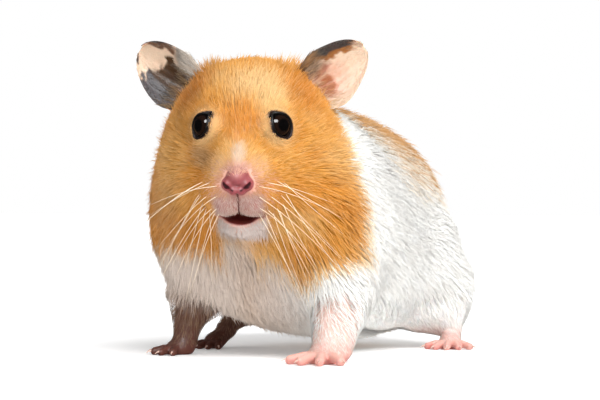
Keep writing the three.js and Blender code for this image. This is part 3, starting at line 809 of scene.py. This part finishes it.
def node(tree, kind, settings=None, links=None):
    """Adds a node, with its settings and what its inputs are linked to or set to."""
    made = tree.nodes.new(kind)
    for name, value in (settings or {}).items():
        setattr(made, name, value)
    for name, value in (links or {}).items():
        if isinstance(value, bpy.types.NodeSocket):
            tree.links.new(value, made.inputs[name])
        else:
            made.inputs[name].default_value = value
    return made


def material(name):
    made = bpy.data.materials.new(name)
    made.use_nodes = True
    made.node_tree.nodes.clear()
    return made, made.node_tree


# Living skin: soft and slightly moist, so that light sinks in a little, with a fine grain of pores
# and creases about a third of a millimetre apart.
living_skin, tree = material("living skin")
where = node(tree, "ShaderNodeTexCoord").outputs["Object"]
tint = node(tree, "ShaderNodeAttribute", {"attribute_name": "Colour"}).outputs["Color"]
pores = node(tree, "ShaderNodeTexVoronoi", None, {"Vector": where, "Scale": 1 / 0.00035})
blush = node(tree, "ShaderNodeTexNoise", None, {"Vector": where, "Scale": 1 / 0.0012, "Detail": 3.0})
shade = node(tree, "ShaderNodeMapRange", None,
             {"Value": blush.outputs["Fac"], "To Min": 0.86, "To Max": 1.1}).outputs["Result"]
toned = node(tree, "ShaderNodeVectorMath", {"operation": "SCALE"}, {"Vector": tint, "Scale": shade})
bump = node(tree, "ShaderNodeBump", None,
            {"Height": pores.outputs["Distance"], "Strength": 0.35, "Distance": 0.00012})
shader = node(tree, "ShaderNodeBsdfPrincipled", None, {
    "Base Color": toned.outputs["Vector"], "Roughness": 0.48, "IOR": 1.4, "Specular IOR Level": 0.22,
    "Subsurface Weight": 0.25, "Subsurface Radius": (1.0, 0.4, 0.25), "Subsurface Scale": 0.0008,
    "Normal": bump.outputs["Normal"]})
node(tree, "ShaderNodeOutputMaterial", None, {"Surface": shader.outputs["BSDF"]})
skin.data.materials.append(living_skin)
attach(skin, "root")
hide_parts("head", "neck", "lower_jaw", "trunk", *LEGS, *PAWS, "tail", "nose", "ear_left",
            "ear_right")

# ---------------------------------------------------------------- eyes
# Round, black and wet: a very dark brown iris that hardly shows, a black pupil and a clear cornea.
# Each is a whole ball that bulges a little at the cornea, set in its own opening in the skin.
EYE_RINGS = 32
EYE_SIDES = 48
CORNEA_BULGE = 0.018  # of the radius
# A wet cornea: smooth as glass, so that it holds one small sharp highlight and is nearly black
# elsewhere.
wet_eye, tree = material("wet cornea over a dark iris")
tint = node(tree, "ShaderNodeAttribute", {"attribute_name": "Colour"}).outputs["Color"]
shader = node(tree, "ShaderNodeBsdfPrincipled", None, {
    "Base Color": tint, "Roughness": 0.07, "IOR": 1.376, "Specular IOR Level": 0.2})
node(tree, "ShaderNodeOutputMaterial", None, {"Surface": shader.outputs["BSDF"]})
for side, name in ((1, "eye_left"), (-1, "eye_right")):
    polar = np.linspace(0, math.pi, EYE_RINGS + 1)
    bulge = EYE_RADIUS * (1 + CORNEA_BULGE * ramp(np.cos(polar), 0.5, 1.0))
    path = EYE_AT + (bulge * np.cos(polar))[:, None] * EYE_OUT
    points, quads = tube(path, np.maximum(bulge * np.sin(polar), 1e-3), EYE_SIDES,
                         np.tile(EYE_LONG, (EYE_RINGS + 1, 1)))
    quads = quads[:, ::-1] if side > 0 else quads
    ball = mesh_from(name + "_ball", head.place(points * [side, 1, 1]), [quads])
    facing = (points - EYE_AT) @ EYE_OUT / EYE_RADIUS
    iris = ramp(facing, 0.62, 0.72) * ramp(facing, 0.93, 0.88)
    colour_points(ball, mix(linear("060505"), linear("1C110C"), iris[:, None]))
    ball.data.materials.append(wet_eye)
    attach(ball, "root")
    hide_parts(name)

# ---------------------------------------------------------------- coat
# Thousands of fine tapered tufts, each a three-sided lock of hair with a flat top, rooted in the
# skin. They lie along the body from the nose backwards and down the legs, part round the eyes,
# overlap like thatch, and reach out to the outline. They are short on the face and long behind.
TOP_WIDTH = 0.085  # mm, of the finest tuft
WIDER_BY_LENGTH = 0.0125
ROOT_SINK = 0.15
TIP_GAP = 0.06
LENGTH_RANGE = (0.75, 1.2)  # as a share of the length that is usual where a tuft grows
WIDTH_RANGE = (0.8, 1.25)
HEIGHT_RANGE = (0.78, 1.04)  # of the tips, as a share of the coat's depth
PROUD_SHARE = 0.04  # of the tufts, which stand proud of the rest by PROUD_HEIGHT
PROUD_HEIGHT = 0.25
LOOSE_SHARE = 0.08  # of the long tufts, which lift away from the body by LOOSE_RANGE
LOOSE_RANGE = (0.3, 1.4)
EAR_TUFT_LIFT = 4.2
PATCH = 0.003  # the width of a tuft's own patch on the unwrapped skin

hide_faces = np.concatenate([hide_quads[:, [0, 1, 2]], hide_quads[:, [0, 2, 3]], hide_tris])
corners = hide_points[hide_faces]
centres = corners.mean(axis=1)
crosses = np.cross(corners[:, 1] - corners[:, 0], corners[:, 2] - corners[:, 0])
areas = np.linalg.norm(crosses, axis=1) / 2
point_normals = np.zeros_like(hide_points)
for k in range(3):
    np.add.at(point_normals, hide_faces[:, k], crosses)
point_normals = unit(point_normals)


def bare(points):
    """1 on bare skin, where no hair grows: nose, mouth, eyes, soles, toes and tail."""
    x, y, z = points.T
    l, f, u = head.local(x, y, z)
    return np.max([
        ramp(nose_pad(l, f, u), 0.45, 0.2) * ramp(u - 0.25 * np.abs(l), -1.6, -2.8),
        ramp(mouth(l, f, u), 0.4, 0.2) * (f > 8),
        1.0 * (eye_opening(l, f, u) < 0.32) * (from_eye(l, f, u) < EYE_RADIUS + 3),
        ramp(cleft(l, f, u), 0.12, 0.04),
        ramp(z, 3.4, 2.4),
        ramp(tail(x, y, z), 1.0, 0.6) * (y > 40),
    ], axis=0)


def hair_length(points):
    l, f, u = head.local(*points.T)
    by_mouth = distance((l, f, u), (0, 21, -12))
    length = (1.0 + 1.55 * coat_depth(*points.T)) * mix(0.5, 1, ramp(by_mouth, 3, 9))
    return length * mix(0.4, 1, ramp(from_eye(l, f, u), 3.8, 6.5)) + 3.0 * ear_base(l, f, u)


def hair_width(length):
    return TOP_WIDTH + WIDER_BY_LENGTH * length


def ear_base(l, f, u):
    """1 in front of each ear's root, where a loose tuft of longer hair stands up."""
    return ramp(distance((np.abs(l), f, u), (10.5, -5, 14), (4.5, 7, 4.5)), 1.2, 0.4)


def without(v, along):
    """What is left of v when the part of it along a unit direction is taken away."""
    return v - along * (v * along).sum(axis=1, keepdims=True)


def lie(points, normals):
    """The way the hair lies, along the skin: back from the nose, then down the chest and legs."""
    x, y, z = points.T
    l, f, u = head.local(x, y, z)
    from_nose = np.stack([l, f - 24.5, u + 3.0], axis=1) @ head.turn.T
    on_head = unit(from_nose)
    on_head[:, 2] -= 0.55 * ramp(u, -2, -14)
    backwards = np.stack([0.0 * x, np.ones(len(x)), -0.35 - 0.5 * ramp(np.abs(x), 4, 22)], axis=1)
    chest = ramp(y, -14, -26) * ramp(z, 36, 28)
    down = np.stack([0.02 * x, 0.25 + 0 * x, -np.ones(len(x))], axis=1)
    legs = ramp(z, 20, 12) * ramp(np.abs(x - STANCE[0]), 10, 15)
    way = mix(on_head, backwards, ramp(f, -4, -20)[:, None])
    way = mix(way, down, np.maximum(chest, legs)[:, None])
    for side in (1, -1):
        away = without(points - head.place(EYE_AT * [side, 1, 1]), normals)
        gap = np.linalg.norm(away, axis=1)
        away = away / np.maximum(gap, 1e-6)[:, None]
        inwards = np.maximum(-(way * away).sum(axis=1), 0) * ramp(gap, 8.5, 4.3) * 1.4
        way = way + away * inwards[:, None]
    return unit(without(way, normals))


def clumped(points, size, seed):
    """For each point, the nearest of a set of scattered clump centres about `size` mm apart."""
    cell = np.floor(points / size).astype(np.int64)
    best = np.full(len(points), 1e9)
    centre = points.copy()
    for k in range(27):
        near = cell + np.array([k % 3, k // 3 % 3, k // 9]) - 1
        jitter = np.stack([hashed(near, seed + axis) for axis in range(3)], axis=1)
        place = (near + jitter) * size
        gap = ((place - points) ** 2).sum(axis=1)
        closer = gap < best
        best[closer], centre[closer] = gap[closer], place[closer]
    return centre


def unwrapped(points, around):
    """A place on the skin as a place on its unwrapped sheet, from 0 to 1 each way."""
    if around == "nose":
        l, f, u = head.local(*points.T)
        turn, far = np.arctan2(u + 4, l), np.arctan2(np.hypot(l, u + 4), f + 6) / math.pi
        way = np.stack([np.cos(turn), np.sin(turn)], axis=1)
        return 0.5 + 0.49 * (far * 1.6).clip(0, 1)[:, None] * way
    if around == "legs":
        out = np.zeros((len(points), 2))
        for k, name in enumerate(LEGS):
            at = paw_axes[name.replace("leg", "paw")].at
            x, y, z = points.T
            mine = (np.sign(x) == np.sign(at[0])) & ((y < -12) == (at[1] < -12))
            turn = np.arctan2(y - at[1], x - at[0]) / (2 * math.pi) + 0.5
            out[mine] = np.stack([(k + 0.02 + 0.95 * turn) / 4, (z + 1) / 42], axis=1)[mine]
        return out.clip(0, 0.99)
    turn = np.arctan2(points[:, 2] - 32, points[:, 0] - STANCE[0]) / (2 * math.pi) + 0.5
    return np.stack([turn * 0.98 + 0.005, (points[:, 1] + 52) / 110], axis=1).clip(0.003, 0.993)


def above_hide(points):
    """How far points stand out from the hide, before it is cut for the eyes and the mouth."""
    d = outline(*points.T) + coat_depth(*points.T)
    l, f, u = head.local(*points.T)
    d = smooth_min(d, nose_pad(l, f, u), 0.6)
    return smooth_min(d, lip_pads(l, f, u), 1.0)


def grow_coat(name, seed, count, steps, around, slot):
    """Grows `count` tufts of `steps` segments each on the piece's own region of the skin."""
    rng = np.random.default_rng(seed)
    # where they grow: thickest where they are short and fine, so that the skin is covered evenly
    lengths = hair_length(centres)
    weight = areas * regions[name] * (1 - bare(centres)) / (lengths * hair_width(lengths))
    weight = weight * (1 - 0.3 * upper_lip(*head.local(*centres.T)))
    picks = rng.choice(len(weight), size=count, p=weight / weight.sum())
    a, b = rng.random(count), rng.random(count)
    over = a + b > 1
    a[over], b[over] = 1 - a[over], 1 - b[over]
    share = np.stack([1 - a - b, a, b], axis=1)[:, :, None]
    roots = (corners[picks] * share).sum(axis=1)
    normals = unit((point_normals[hide_faces[picks]] * share).sum(axis=1))
    # which way each lies, and how long it is; those whose tip would cross an eye are cut short
    ahead = lie(roots, normals)
    aside = np.cross(ahead, normals)
    calm = mix(0.4, 1, ramp(head.local(*roots.T)[1], -24, -13))
    swing = calm * (0.15 * mottle(roots, 7, 31) + 0.12 * mottle(roots, 2.5, 32))
    swing = swing + rng.normal(0, 0.08, count)
    ahead = unit(ahead * np.cos(swing)[:, None] + aside * np.sin(swing)[:, None])
    aside = np.cross(ahead, normals)
    length = hair_length(roots) * rng.uniform(*LENGTH_RANGE, count)
    tips = head.local(*(roots + ahead * length[:, None]).T)
    over_eye = (eye_opening(*tips) < 0.3) & (from_eye(*tips) < 7)
    length = np.where(over_eye, 0.2 * length, length)
    # how it rises to the outline, bends, gathers with its neighbours, and stands up if it is loose
    rise = rng.uniform(*HEIGHT_RANGE, count) + PROUD_HEIGHT * (rng.random(count) < PROUD_SHARE)
    bend = rng.normal(0, 0.08, count) + calm * 0.08 * mottle(roots, 4, 33)
    clump = clumped(roots + ahead * (length * 0.7)[:, None], 1.3 + 0.5 * steps, 40)
    pull = calm * rng.uniform(0.1, 0.45, count) * ramp(length, 1.5, 5.0)
    stand = ear_base(*head.local(*roots.T)) * rng.uniform(0.4, 1.0, count) * EAR_TUFT_LIFT
    loose = (rng.random(count) < LOOSE_SHARE) * ramp(length, 2.5, 5)
    stand = stand + loose * rng.uniform(*LOOSE_RANGE, count)
    by_lid = ramp(eye_opening(*head.local(*roots.T)), 1.4, 0.4)
    most = (0.45 * length + 0.3) * (1 - 0.9 * by_lid)
    stations = np.linspace(0, 1, steps + 1) ** 0.9
    rings = []
    for t in stations:
        at = roots + ahead * (length * t)[:, None] + aside * (length * bend * t * t)[:, None]
        at = at + without(clump - at, ahead) * (pull * t ** 1.6)[:, None]
        height = coat_depth(*at.T) * rise * (1 - (1 - t) ** 2.2) + TIP_GAP * t - ROOT_SINK * (1 - t)
        off = np.clip(height - above_hide(at), -most, most) + stand * t ** 1.5
        rings.append(at + normals * off[:, None])
    path = np.stack(rings, axis=1)
    width = hair_width(length) * rng.uniform(*WIDTH_RANGE, count)
    # its colour is that of the markings near its root, with a little of its own
    stray = rng.normal(0, 0.2, (count, 3)) * length[:, None]
    tone = markings(roots + ahead * (length * 0.45)[:, None] + stray)
    golden = 1 - tone.min(axis=1) / tone.max(axis=1)
    uneven = rng.normal(0, 1, count) * (0.02 + 0.05 * golden)
    uneven = uneven + mottle(clump, 1.5, 41) * (0.03 + 0.07 * golden)
    tone = mix(tone, linear(CREAM), (0.4 * golden * rng.random(count) ** 4)[:, None])
    tone = tone * (1 + uneven)[:, None]
    sheet = unwrapped(roots, around)
    tuft_mesh(name, path, stations, normals, ahead, aside, width, tone, sheet, slot)


def tuft_mesh(name, path, stations, normals, ahead, aside, width, tone, places, slot):
    """Builds every tuft at once: a ring of three points at each station and one at the tip."""
    count, steps = len(path), len(stations) - 1
    wide = np.array([1.0, 0.85, 0.55]) if steps > 2 else np.array([1.0, 0.75])
    half = width[:, None, None] * wide[None, :, None] / 2
    middle = path[:, :-1]
    ring = np.stack([middle + aside[:, None] * half, middle - aside[:, None] * half,
                     middle - normals[:, None] * half * 1.3], axis=2)
    points = np.concatenate([ring.reshape(count, -1, 3), path[:, -1:]], axis=1)
    per = 3 * steps + 1
    quads = [[3 * j + k, 3 * j + 3 + k, 3 * j + 3 + (k + 1) % 3, 3 * j + (k + 1) % 3]
             for j in range(steps - 1) for k in range(3)]
    last = 3 * (steps - 1)
    tris = [[last + k, per - 1, last + (k + 1) % 3] for k in range(3)] + [[0, 1, 2]]
    start = (np.arange(count) * per)[:, None, None]
    quads = (start + np.array(quads)).reshape(-1, 4)
    tris = (start + np.array(tris)).reshape(-1, 3)
    piece = mesh_from(name, points.reshape(-1, 3), [quads, tris])
    along = np.append(np.repeat(stations[:-1], 3), 1.0)
    # painted shade and light: each tuft is darkened towards its root, where the tufts shade each other,
    # and made paler at its tip, where it catches the light; the root is also partly deeper in its own
    # colour
    deep_and_shaded_root, light = tone.clip(0.002, 0.96) ** 1.22, mix(tone, linear("FFF4E0"), 0.07)
    shades = mix(deep_and_shaded_root[:, None], light[:, None], along[None, :, None])
    colour_points(piece, shades.reshape(-1, 3).clip(0, 0.96))
    reach = piece.data.attributes.new("Reach", "FLOAT", "POINT")
    reach.data.foreach_set("value", np.tile(along, count).astype(np.float32))
    # each tuft has a tiny patch of its own on the unwrapped skin, at its root
    corner_of = np.concatenate([quads.ravel(), tris.ravel()])
    inside = np.stack([along, np.append(np.tile([0, 0.4, 0.8], steps), 0.4)], axis=1) * PATCH
    sheet = (places[:, None] + inside[None]).reshape(-1, 2)
    layer = piece.data.uv_layers.new(name="OFBake")
    layer.data.foreach_set("uv", sheet[corner_of].astype(np.float32).ravel())
    # hair catches the light as the body under it does, so its normals lean to the skin's
    lean = np.stack([aside * 0.25, -aside * 0.25, 0 * aside], axis=1)
    shading = np.concatenate([np.tile(lean, (1, steps, 1)), 0 * aside[:, None]], axis=1)
    shading = shading + normals[:, None] + ahead[:, None] * (0.15 * along[None, :, None])
    piece.data.normals_split_custom_set_from_vertices(unit(shading.reshape(-1, 3)).astype(np.float32))
    piece.data.materials.append(soft_hair)
    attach(piece, "root")


# Hamster hair: soft, matt and close, deeper in colour at the root and paler at the tip, partly its
# own colour and partly painted shade at the root and painted light at the tip.
soft_hair, tree = material("soft hamster hair")
tint = node(tree, "ShaderNodeAttribute", {"attribute_name": "Colour"}).outputs["Color"]
reach = node(tree, "ShaderNodeAttribute", {"attribute_name": "Reach"}).outputs["Fac"]
shade = node(tree, "ShaderNodeMapRange", None,
             {"Value": reach, "To Min": 0.93, "To Max": 1.03}).outputs["Result"]
toned = node(tree, "ShaderNodeVectorMath", {"operation": "SCALE"}, {"Vector": tint, "Scale": shade})
shader = node(tree, "ShaderNodeBsdfPrincipled", None, {
    "Base Color": toned.outputs["Vector"], "Roughness": 0.62, "IOR": 1.5, "Specular IOR Level": 0.04,
    "Sheen Weight": 0.02, "Sheen Roughness": 0.4})
node(tree, "ShaderNodeOutputMaterial", None, {"Surface": shader.outputs["BSDF"]})


def coat_regions(points):
    """For each piece of the coat, which points of the skin it grows from."""
    x, y, z = points.T
    l, f, u = head.local(x, y, z)
    in_head = (f > -13) & (z > 24)
    top = in_head & (f <= 9)
    on_leg = (z < 17) & (np.abs(x - STANCE[0]) > 12)
    body = ~in_head & ~on_leg
    flank = body & (y >= -16) & (y < 12)
    rump = body & (y >= 12)
    return {
        "coat_face": in_head & (f > 9),
        "coat_brow": top & (u > -2),
        "coat_cheek_left": top & (u <= -2) & (l > 0),
        "coat_cheek_right": top & (u <= -2) & (l < 0),
        "coat_chest": body & (y < -16),
        "coat_flank_left": flank & (x > 1),
        "coat_flank_right": flank & (x < 1),
        "coat_rump_left": rump & (x > 1),
        "coat_rump_right": rump & (x < 1),
        "coat_legs": on_leg,
    }


regions = coat_regions(centres)
# Each piece: its seed, its number of tufts, the segments in each, its sheet and its slot.
COAT = {
    "coat_face": (100, 19000, 2, "nose", "coat_golden"),
    "coat_brow": (101, 15000, 2, "nose", "coat_golden"),
    "coat_cheek_left": (102, 10500, 3, "nose", "coat_golden"),
    "coat_cheek_right": (103, 9500, 3, "nose", "coat_golden"),
    "coat_chest": (104, 11500, 3, "spine", "coat_white"),
    "coat_flank_left": (105, 15000, 2, "spine", "coat_white"),
    "coat_flank_right": (106, 12000, 2, "spine", "coat_white"),
    "coat_rump_left": (107, 12500, 2, "spine", "coat_white"),
    "coat_rump_right": (108, 10500, 2, "spine", "coat_white"),
    "coat_legs": (109, 10500, 2, "legs", "coat_white"),
}
for name, row in COAT.items():
    grow_coat(name, *row)


# The ears have a thin down of their own, longest at the root: silvery at the upper root of the
# right ear and brown at that of the left one, with a fringe along each rim.
DOWN_WIDTH = 0.11
DOWN_STATIONS = np.array([0, 0.55, 1.0])
DOWN_ON_INSIDE = 0.6  # the share of the hairs that grow on the inner face
DOWN_AT_ROOT = 0.45  # the share that crowd at the upper root


def ear_down(side, name, count, seed, edge_hair):
    rng = np.random.default_rng(seed)
    across, up = rng.uniform(-0.97, 0.97, count), rng.uniform(-0.04, 0.95, count)
    inner = (rng.random(count) < DOWN_ON_INSIDE).astype(float)
    at_root = rng.random(count) < DOWN_AT_ROOT
    across = np.where(at_root, rng.uniform(0.3, 1.0, count), across)
    up = np.where(at_root, rng.uniform(-0.06, 0.42, count), up)
    # the outer face is covered, the inner one only at the root and the rim, and thinly between
    outside = (inner < 0.5) & (up < 0.82) & (np.abs(across) < 0.9)
    sparse = rng.random(count) < 0.2
    keep = outside | (inner > 0.5) & ((up < 0.3) | at_root | (np.abs(across) > 0.88) | sparse)
    across, up, inner = across[keep], up[keep], inner[keep]
    off = (inner - 0.5) * EAR_THICKNESS * 0.9
    roots = ear_points(side, across, up, off)
    step = 0.01
    one = unit(ear_points(side, across + step, up, off) - roots)
    two = unit(ear_points(side, across, up + step, off) - roots)
    normals = without(unit(roots - ear_points(side, across, up, -off)), two)
    ahead = unit(two + one * rng.normal(0, 0.25, len(up))[:, None] + normals * 0.12)
    aside = unit(np.cross(ahead, normals))
    base = ramp(up, 0.4, 0.02)
    upper_root = base * ramp(across, 0.25, 0.5)
    length = (0.9 + 1.3 * base + 1.3 * upper_root) * rng.uniform(0.7, 1.3, len(up))
    path = np.stack([roots + ahead * (length * t)[:, None] + normals * (0.16 * length * t)[:, None]
                     for t in DOWN_STATIONS], axis=1)
    tone = np.where(inner[:, None] > 0.5, *(ear_colours(side, across, up, k) for k in (1, 0)))
    tone = mix(tone, linear("E3B878"), (0.45 * base * rng.random(len(up)))[:, None])
    edge = (0.08 + 0.9 * upper_root) * rng.random(len(up)) ** 0.7
    tone = mix(tone, linear(edge_hair), edge[:, None])
    sheet = np.stack([(across + 1) / 4.2 + 0.5 * inner, up.clip(0, 1) * 0.98], axis=1).clip(0, 0.99)
    width = np.full(len(up), DOWN_WIDTH)
    tuft_mesh(name, path, DOWN_STATIONS, normals, ahead, aside, width, tone, sheet, "ear_skin")


ear_down(1, "down_ear_left", 3600, 301, "5B4536")
ear_down(-1, "down_ear_right", 3600, 302, "EDE6DE")

# ---------------------------------------------------------------- claws
# Eighteen small curved claws of pale horn, one rooted in the end of each toe. Each tapers to a
# blunt point that bends down towards the floor.
CLAW_LENGTH = 1.7
CLAW_RADIUS = 0.28
CLAW_POINT = 0.015
CLAW_LOWEST = 0.12
CLAW_RINGS = 7
CLAW_SIDES = 8
# Pale horn: smooth and faintly translucent, with soft patches of tone about half a millimetre wide.
horn, tree = material("pale horn")
grain = node(tree, "ShaderNodeTexNoise", None, {
    "Vector": node(tree, "ShaderNodeTexCoord").outputs["Object"], "Scale": 1 / 0.0006, "Detail": 2.0})
horn_tint = node(tree, "ShaderNodeMix", {"data_type": "RGBA"}, {
    "Factor": grain.outputs["Fac"], "A": (*linear("CFA799"), 1), "B": (*linear("DDC2B4"), 1)})
shader = node(tree, "ShaderNodeBsdfPrincipled", None, {
    "Base Color": horn_tint.outputs["Result"], "Roughness": 0.3, "IOR": 1.54, "Subsurface Weight": 0.2,
    "Subsurface Radius": (1.0, 0.6, 0.5), "Subsurface Scale": 0.0004})
node(tree, "ShaderNodeOutputMaterial", None, {"Surface": shader.outputs["BSDF"]})
along = np.linspace(0, 1, CLAW_RINGS)
claw_radii = CLAW_RADIUS * (1 - along) ** 0.7 + CLAW_POINT
for name, (_, _, angles, near, far, r, _) in PAWS.items():
    toes = []
    for angle in angles:
        s, t = toe_way(angle)
        out = far + r * 0.35 + CLAW_LENGTH * 1.05 * along
        height = np.maximum(r * 0.95 + 0.35 * along - 0.9 * along ** 2, CLAW_LOWEST)
        path = np.stack([s * out, t * out, height], axis=1)
        points, quads = tube(path, claw_radii, CLAW_SIDES, np.tile([-t, s, 0.0], (CLAW_RINGS, 1)))
        toes.append((paw_axes[name].place(points), quads[:, ::-1]))
    points, quads = joined(toes)
    claws = mesh_from("claws_" + name, points, [quads])
    claws.data.materials.append(horn)
    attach(claws, "root")

# ---------------------------------------------------------------- whiskers
# Fine cream whiskers that fan out from the pads on both sides of the nose and droop in long
# curves. They grow in four rows of four on each side, and are lifted clear of the cheeks.
WHISKER_RADIUS = 0.055
WHISKER_POINT = 0.012
WHISKER_RINGS = 13
WHISKER_SIDES = 6
WHISKER_ROWS = 4
WHISKERS_IN_ROW = 4
WHISKER_LENGTHS = (13, 21)
along = np.linspace(0, 1, WHISKER_RINGS)
whisker_radii = WHISKER_RADIUS * (1 - along) ** 0.6 + WHISKER_POINT
middle = head.place([[0, 2, -8]])
rng = np.random.default_rng(77)
fan = []
for side in (1, -1):
    starts = []
    for row in range(WHISKER_ROWS):
        for place in range(WHISKERS_IN_ROW):
            root = [4.2 + 1.0 * place, 22.0 - 1.5 * place, -6.0 - 1.6 * row - 0.35 * place]
            slope = math.radians(2 - 19 * row - 7 * place + rng.normal(0, 5))
            heading = [math.cos(slope), 0.42 - 0.08 * place, math.sin(slope)]
            starts.append((root, heading, rng.uniform(*WHISKER_LENGTHS), 0.5 + 0.06 * row))
    for root, heading, length, droop in starts:
        curve = np.array([0.1, -0.55, -droop]) * length
        local = root + unit(heading) * (along * length)[:, None] + curve * (along ** 2)[:, None]
        path = head.place(local * [side, 1, 1]) + rng.normal(0, 0.5, 3) * (along ** 2)[:, None]
        # its root is moved onto the coat's surface, and it is lifted to clear the cheek
        start = project(outline, path[:1], 3, 5)[0]
        path = path + (start - path[0]) * ((1 - along) ** 2)[:, None]
        lift = np.maximum(1.2 * np.sqrt(along) - outline(*path.T), 0) * (along > 0)
        for _ in range(6):
            lift[1:-1] = (lift[:-2] + 2 * lift[1:-1] + lift[2:]) / 4
        path = path + unit(path - middle) * lift[:, None]
        path[0] -= unit(path[:1] - middle)[0] * 0.5
        hint = np.tile(head.turn[:, 1], (WHISKER_RINGS, 1))
        fan.append(tube(path, whisker_radii, WHISKER_SIDES, hint))
points, quads = joined(fan)
whiskers = mesh_from("whiskers", points, [quads])
# Stiff hair, smoother than the coat and nearly white, a little deeper in colour in places.
whisker_hair, tree = material("stiff cream whisker")
patches = node(tree, "ShaderNodeTexNoise", None, {
    "Vector": node(tree, "ShaderNodeTexCoord").outputs["Object"], "Scale": 1 / 0.004})
cream = node(tree, "ShaderNodeMix", {"data_type": "RGBA"}, {
    "Factor": patches.outputs["Fac"], "A": (*linear("FCEFD8"), 1), "B": (*linear("F4DDB8"), 1)})
shader = node(tree, "ShaderNodeBsdfPrincipled", None, {
    "Base Color": cream.outputs["Result"], "Roughness": 0.35, "IOR": 1.55})
node(tree, "ShaderNodeOutputMaterial", None, {"Surface": shader.outputs["BSDF"]})
whiskers.data.materials.append(whisker_hair)
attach(whiskers, "root")

# ---------------------------------------------------------------- floor, light and camera
# A plain white studio: one pale floor, an even pale surround, a big soft key lamp from the upper
# right and a small soft box that makes the catchlights in the eyes.
FLOOR_REACH = 4  # metres each way
floor_mesh = bpy.data.meshes.new("floor")
floor_corners = [(FLOOR_REACH * x, FLOOR_REACH * y, 0) for x, y in ((-1, -1), (1, -1), (1, 1), (-1, 1))]
floor_mesh.from_pydata(floor_corners, [], [(0, 1, 2, 3)])
floor = placed("floor", floor_mesh)
pale_card, tree = material("matt white card")
shader = node(tree, "ShaderNodeBsdfPrincipled", None,
              {"Base Color": (0.93, 0.93, 0.93, 1), "Roughness": 0.9, "Specular IOR Level": 0.1,
               "Emission Color": (1, 1, 1, 1), "Emission Strength": 0.2})
node(tree, "ShaderNodeOutputMaterial", None, {"Surface": shader.outputs["BSDF"]})
floor_mesh.materials.append(pale_card)
floor.visible_glossy = False

surround = bpy.data.worlds.new("white surround")
surround.use_nodes = True
tree = surround.node_tree
tree.nodes.clear()
# The backdrop looks white, but lights the animal with less than that, and what shines back from
# glossy places is darker still.
FILL_LIGHT = 0.62
DARK_SIDE = 0.05
ray = node(tree, "ShaderNodeLightPath")
seen = node(tree, "ShaderNodeMath", {"operation": "MULTIPLY_ADD"},
            {0: ray.outputs["Is Camera Ray"], 1: 1 - DARK_SIDE, 2: DARK_SIDE})
strength = node(tree, "ShaderNodeMath", {"operation": "MULTIPLY_ADD"},
                {0: ray.outputs["Is Diffuse Ray"], 1: FILL_LIGHT - DARK_SIDE, 2: seen.outputs["Value"]})
paper = node(tree, "ShaderNodeBackground", None,
             {"Color": (1, 1, 1, 1), "Strength": strength.outputs["Value"]})
node(tree, "ShaderNodeOutputWorld", None, {"Surface": paper.outputs["Background"]})
bpy.context.scene.world = surround
bpy.context.scene.view_settings.view_transform = "Standard"

KEY_FROM = (0.64, -0.36, 0.68)  # from the upper right of the camera
KEY_ENERGY = 3.35
KEY_SOFTNESS = math.radians(40)
key_lamp = bpy.data.lights.new("key lamp", "SUN")
key_lamp.energy = KEY_ENERGY
key_lamp.angle = KEY_SOFTNESS
key = placed("key lamp", key_lamp)
key.rotation_euler = Vector(KEY_FROM).to_track_quat("Z", "Y").to_euler()
key.visible_glossy = False

CATCH_FROM = Vector((0.29, -0.75, 0.59)).normalized()
CATCH_AIM = Vector((0.01, -0.04, 0.055))  # the left eye, about
CATCH_AWAY = 0.5
CATCH_SIZE = (0.30, 0.20)
CATCH_ENERGY = 13.0
catch_lamp = bpy.data.lights.new("catchlight box", "AREA")
catch_lamp.shape = "RECTANGLE"
catch_lamp.size, catch_lamp.size_y = CATCH_SIZE
catch_lamp.energy = CATCH_ENERGY
catch = placed("catchlight box", catch_lamp)
catch.location = CATCH_FROM * CATCH_AWAY + CATCH_AIM
catch.rotation_euler = CATCH_FROM.to_track_quat("Z", "Y").to_euler()
catch.visible_diffuse = False

FOCAL_PIXELS = 2093.0
FRAME_PIXELS = 600.0
SENSOR_WIDTH = 36.0
CAMERA_AT = (0.26067, -0.45805, 0.038)
CAMERA_HEADING = math.radians(30)
camera_data = bpy.data.cameras.new("camera")
camera_data.sensor_width = SENSOR_WIDTH
camera_data.lens = FOCAL_PIXELS / FRAME_PIXELS * SENSOR_WIDTH
camera_data.clip_start = 0.01
camera = placed("camera", camera_data)
camera.location = CAMERA_AT
camera.rotation_euler = (math.pi / 2, 0, CAMERA_HEADING)
bpy.context.scene.camera = camera
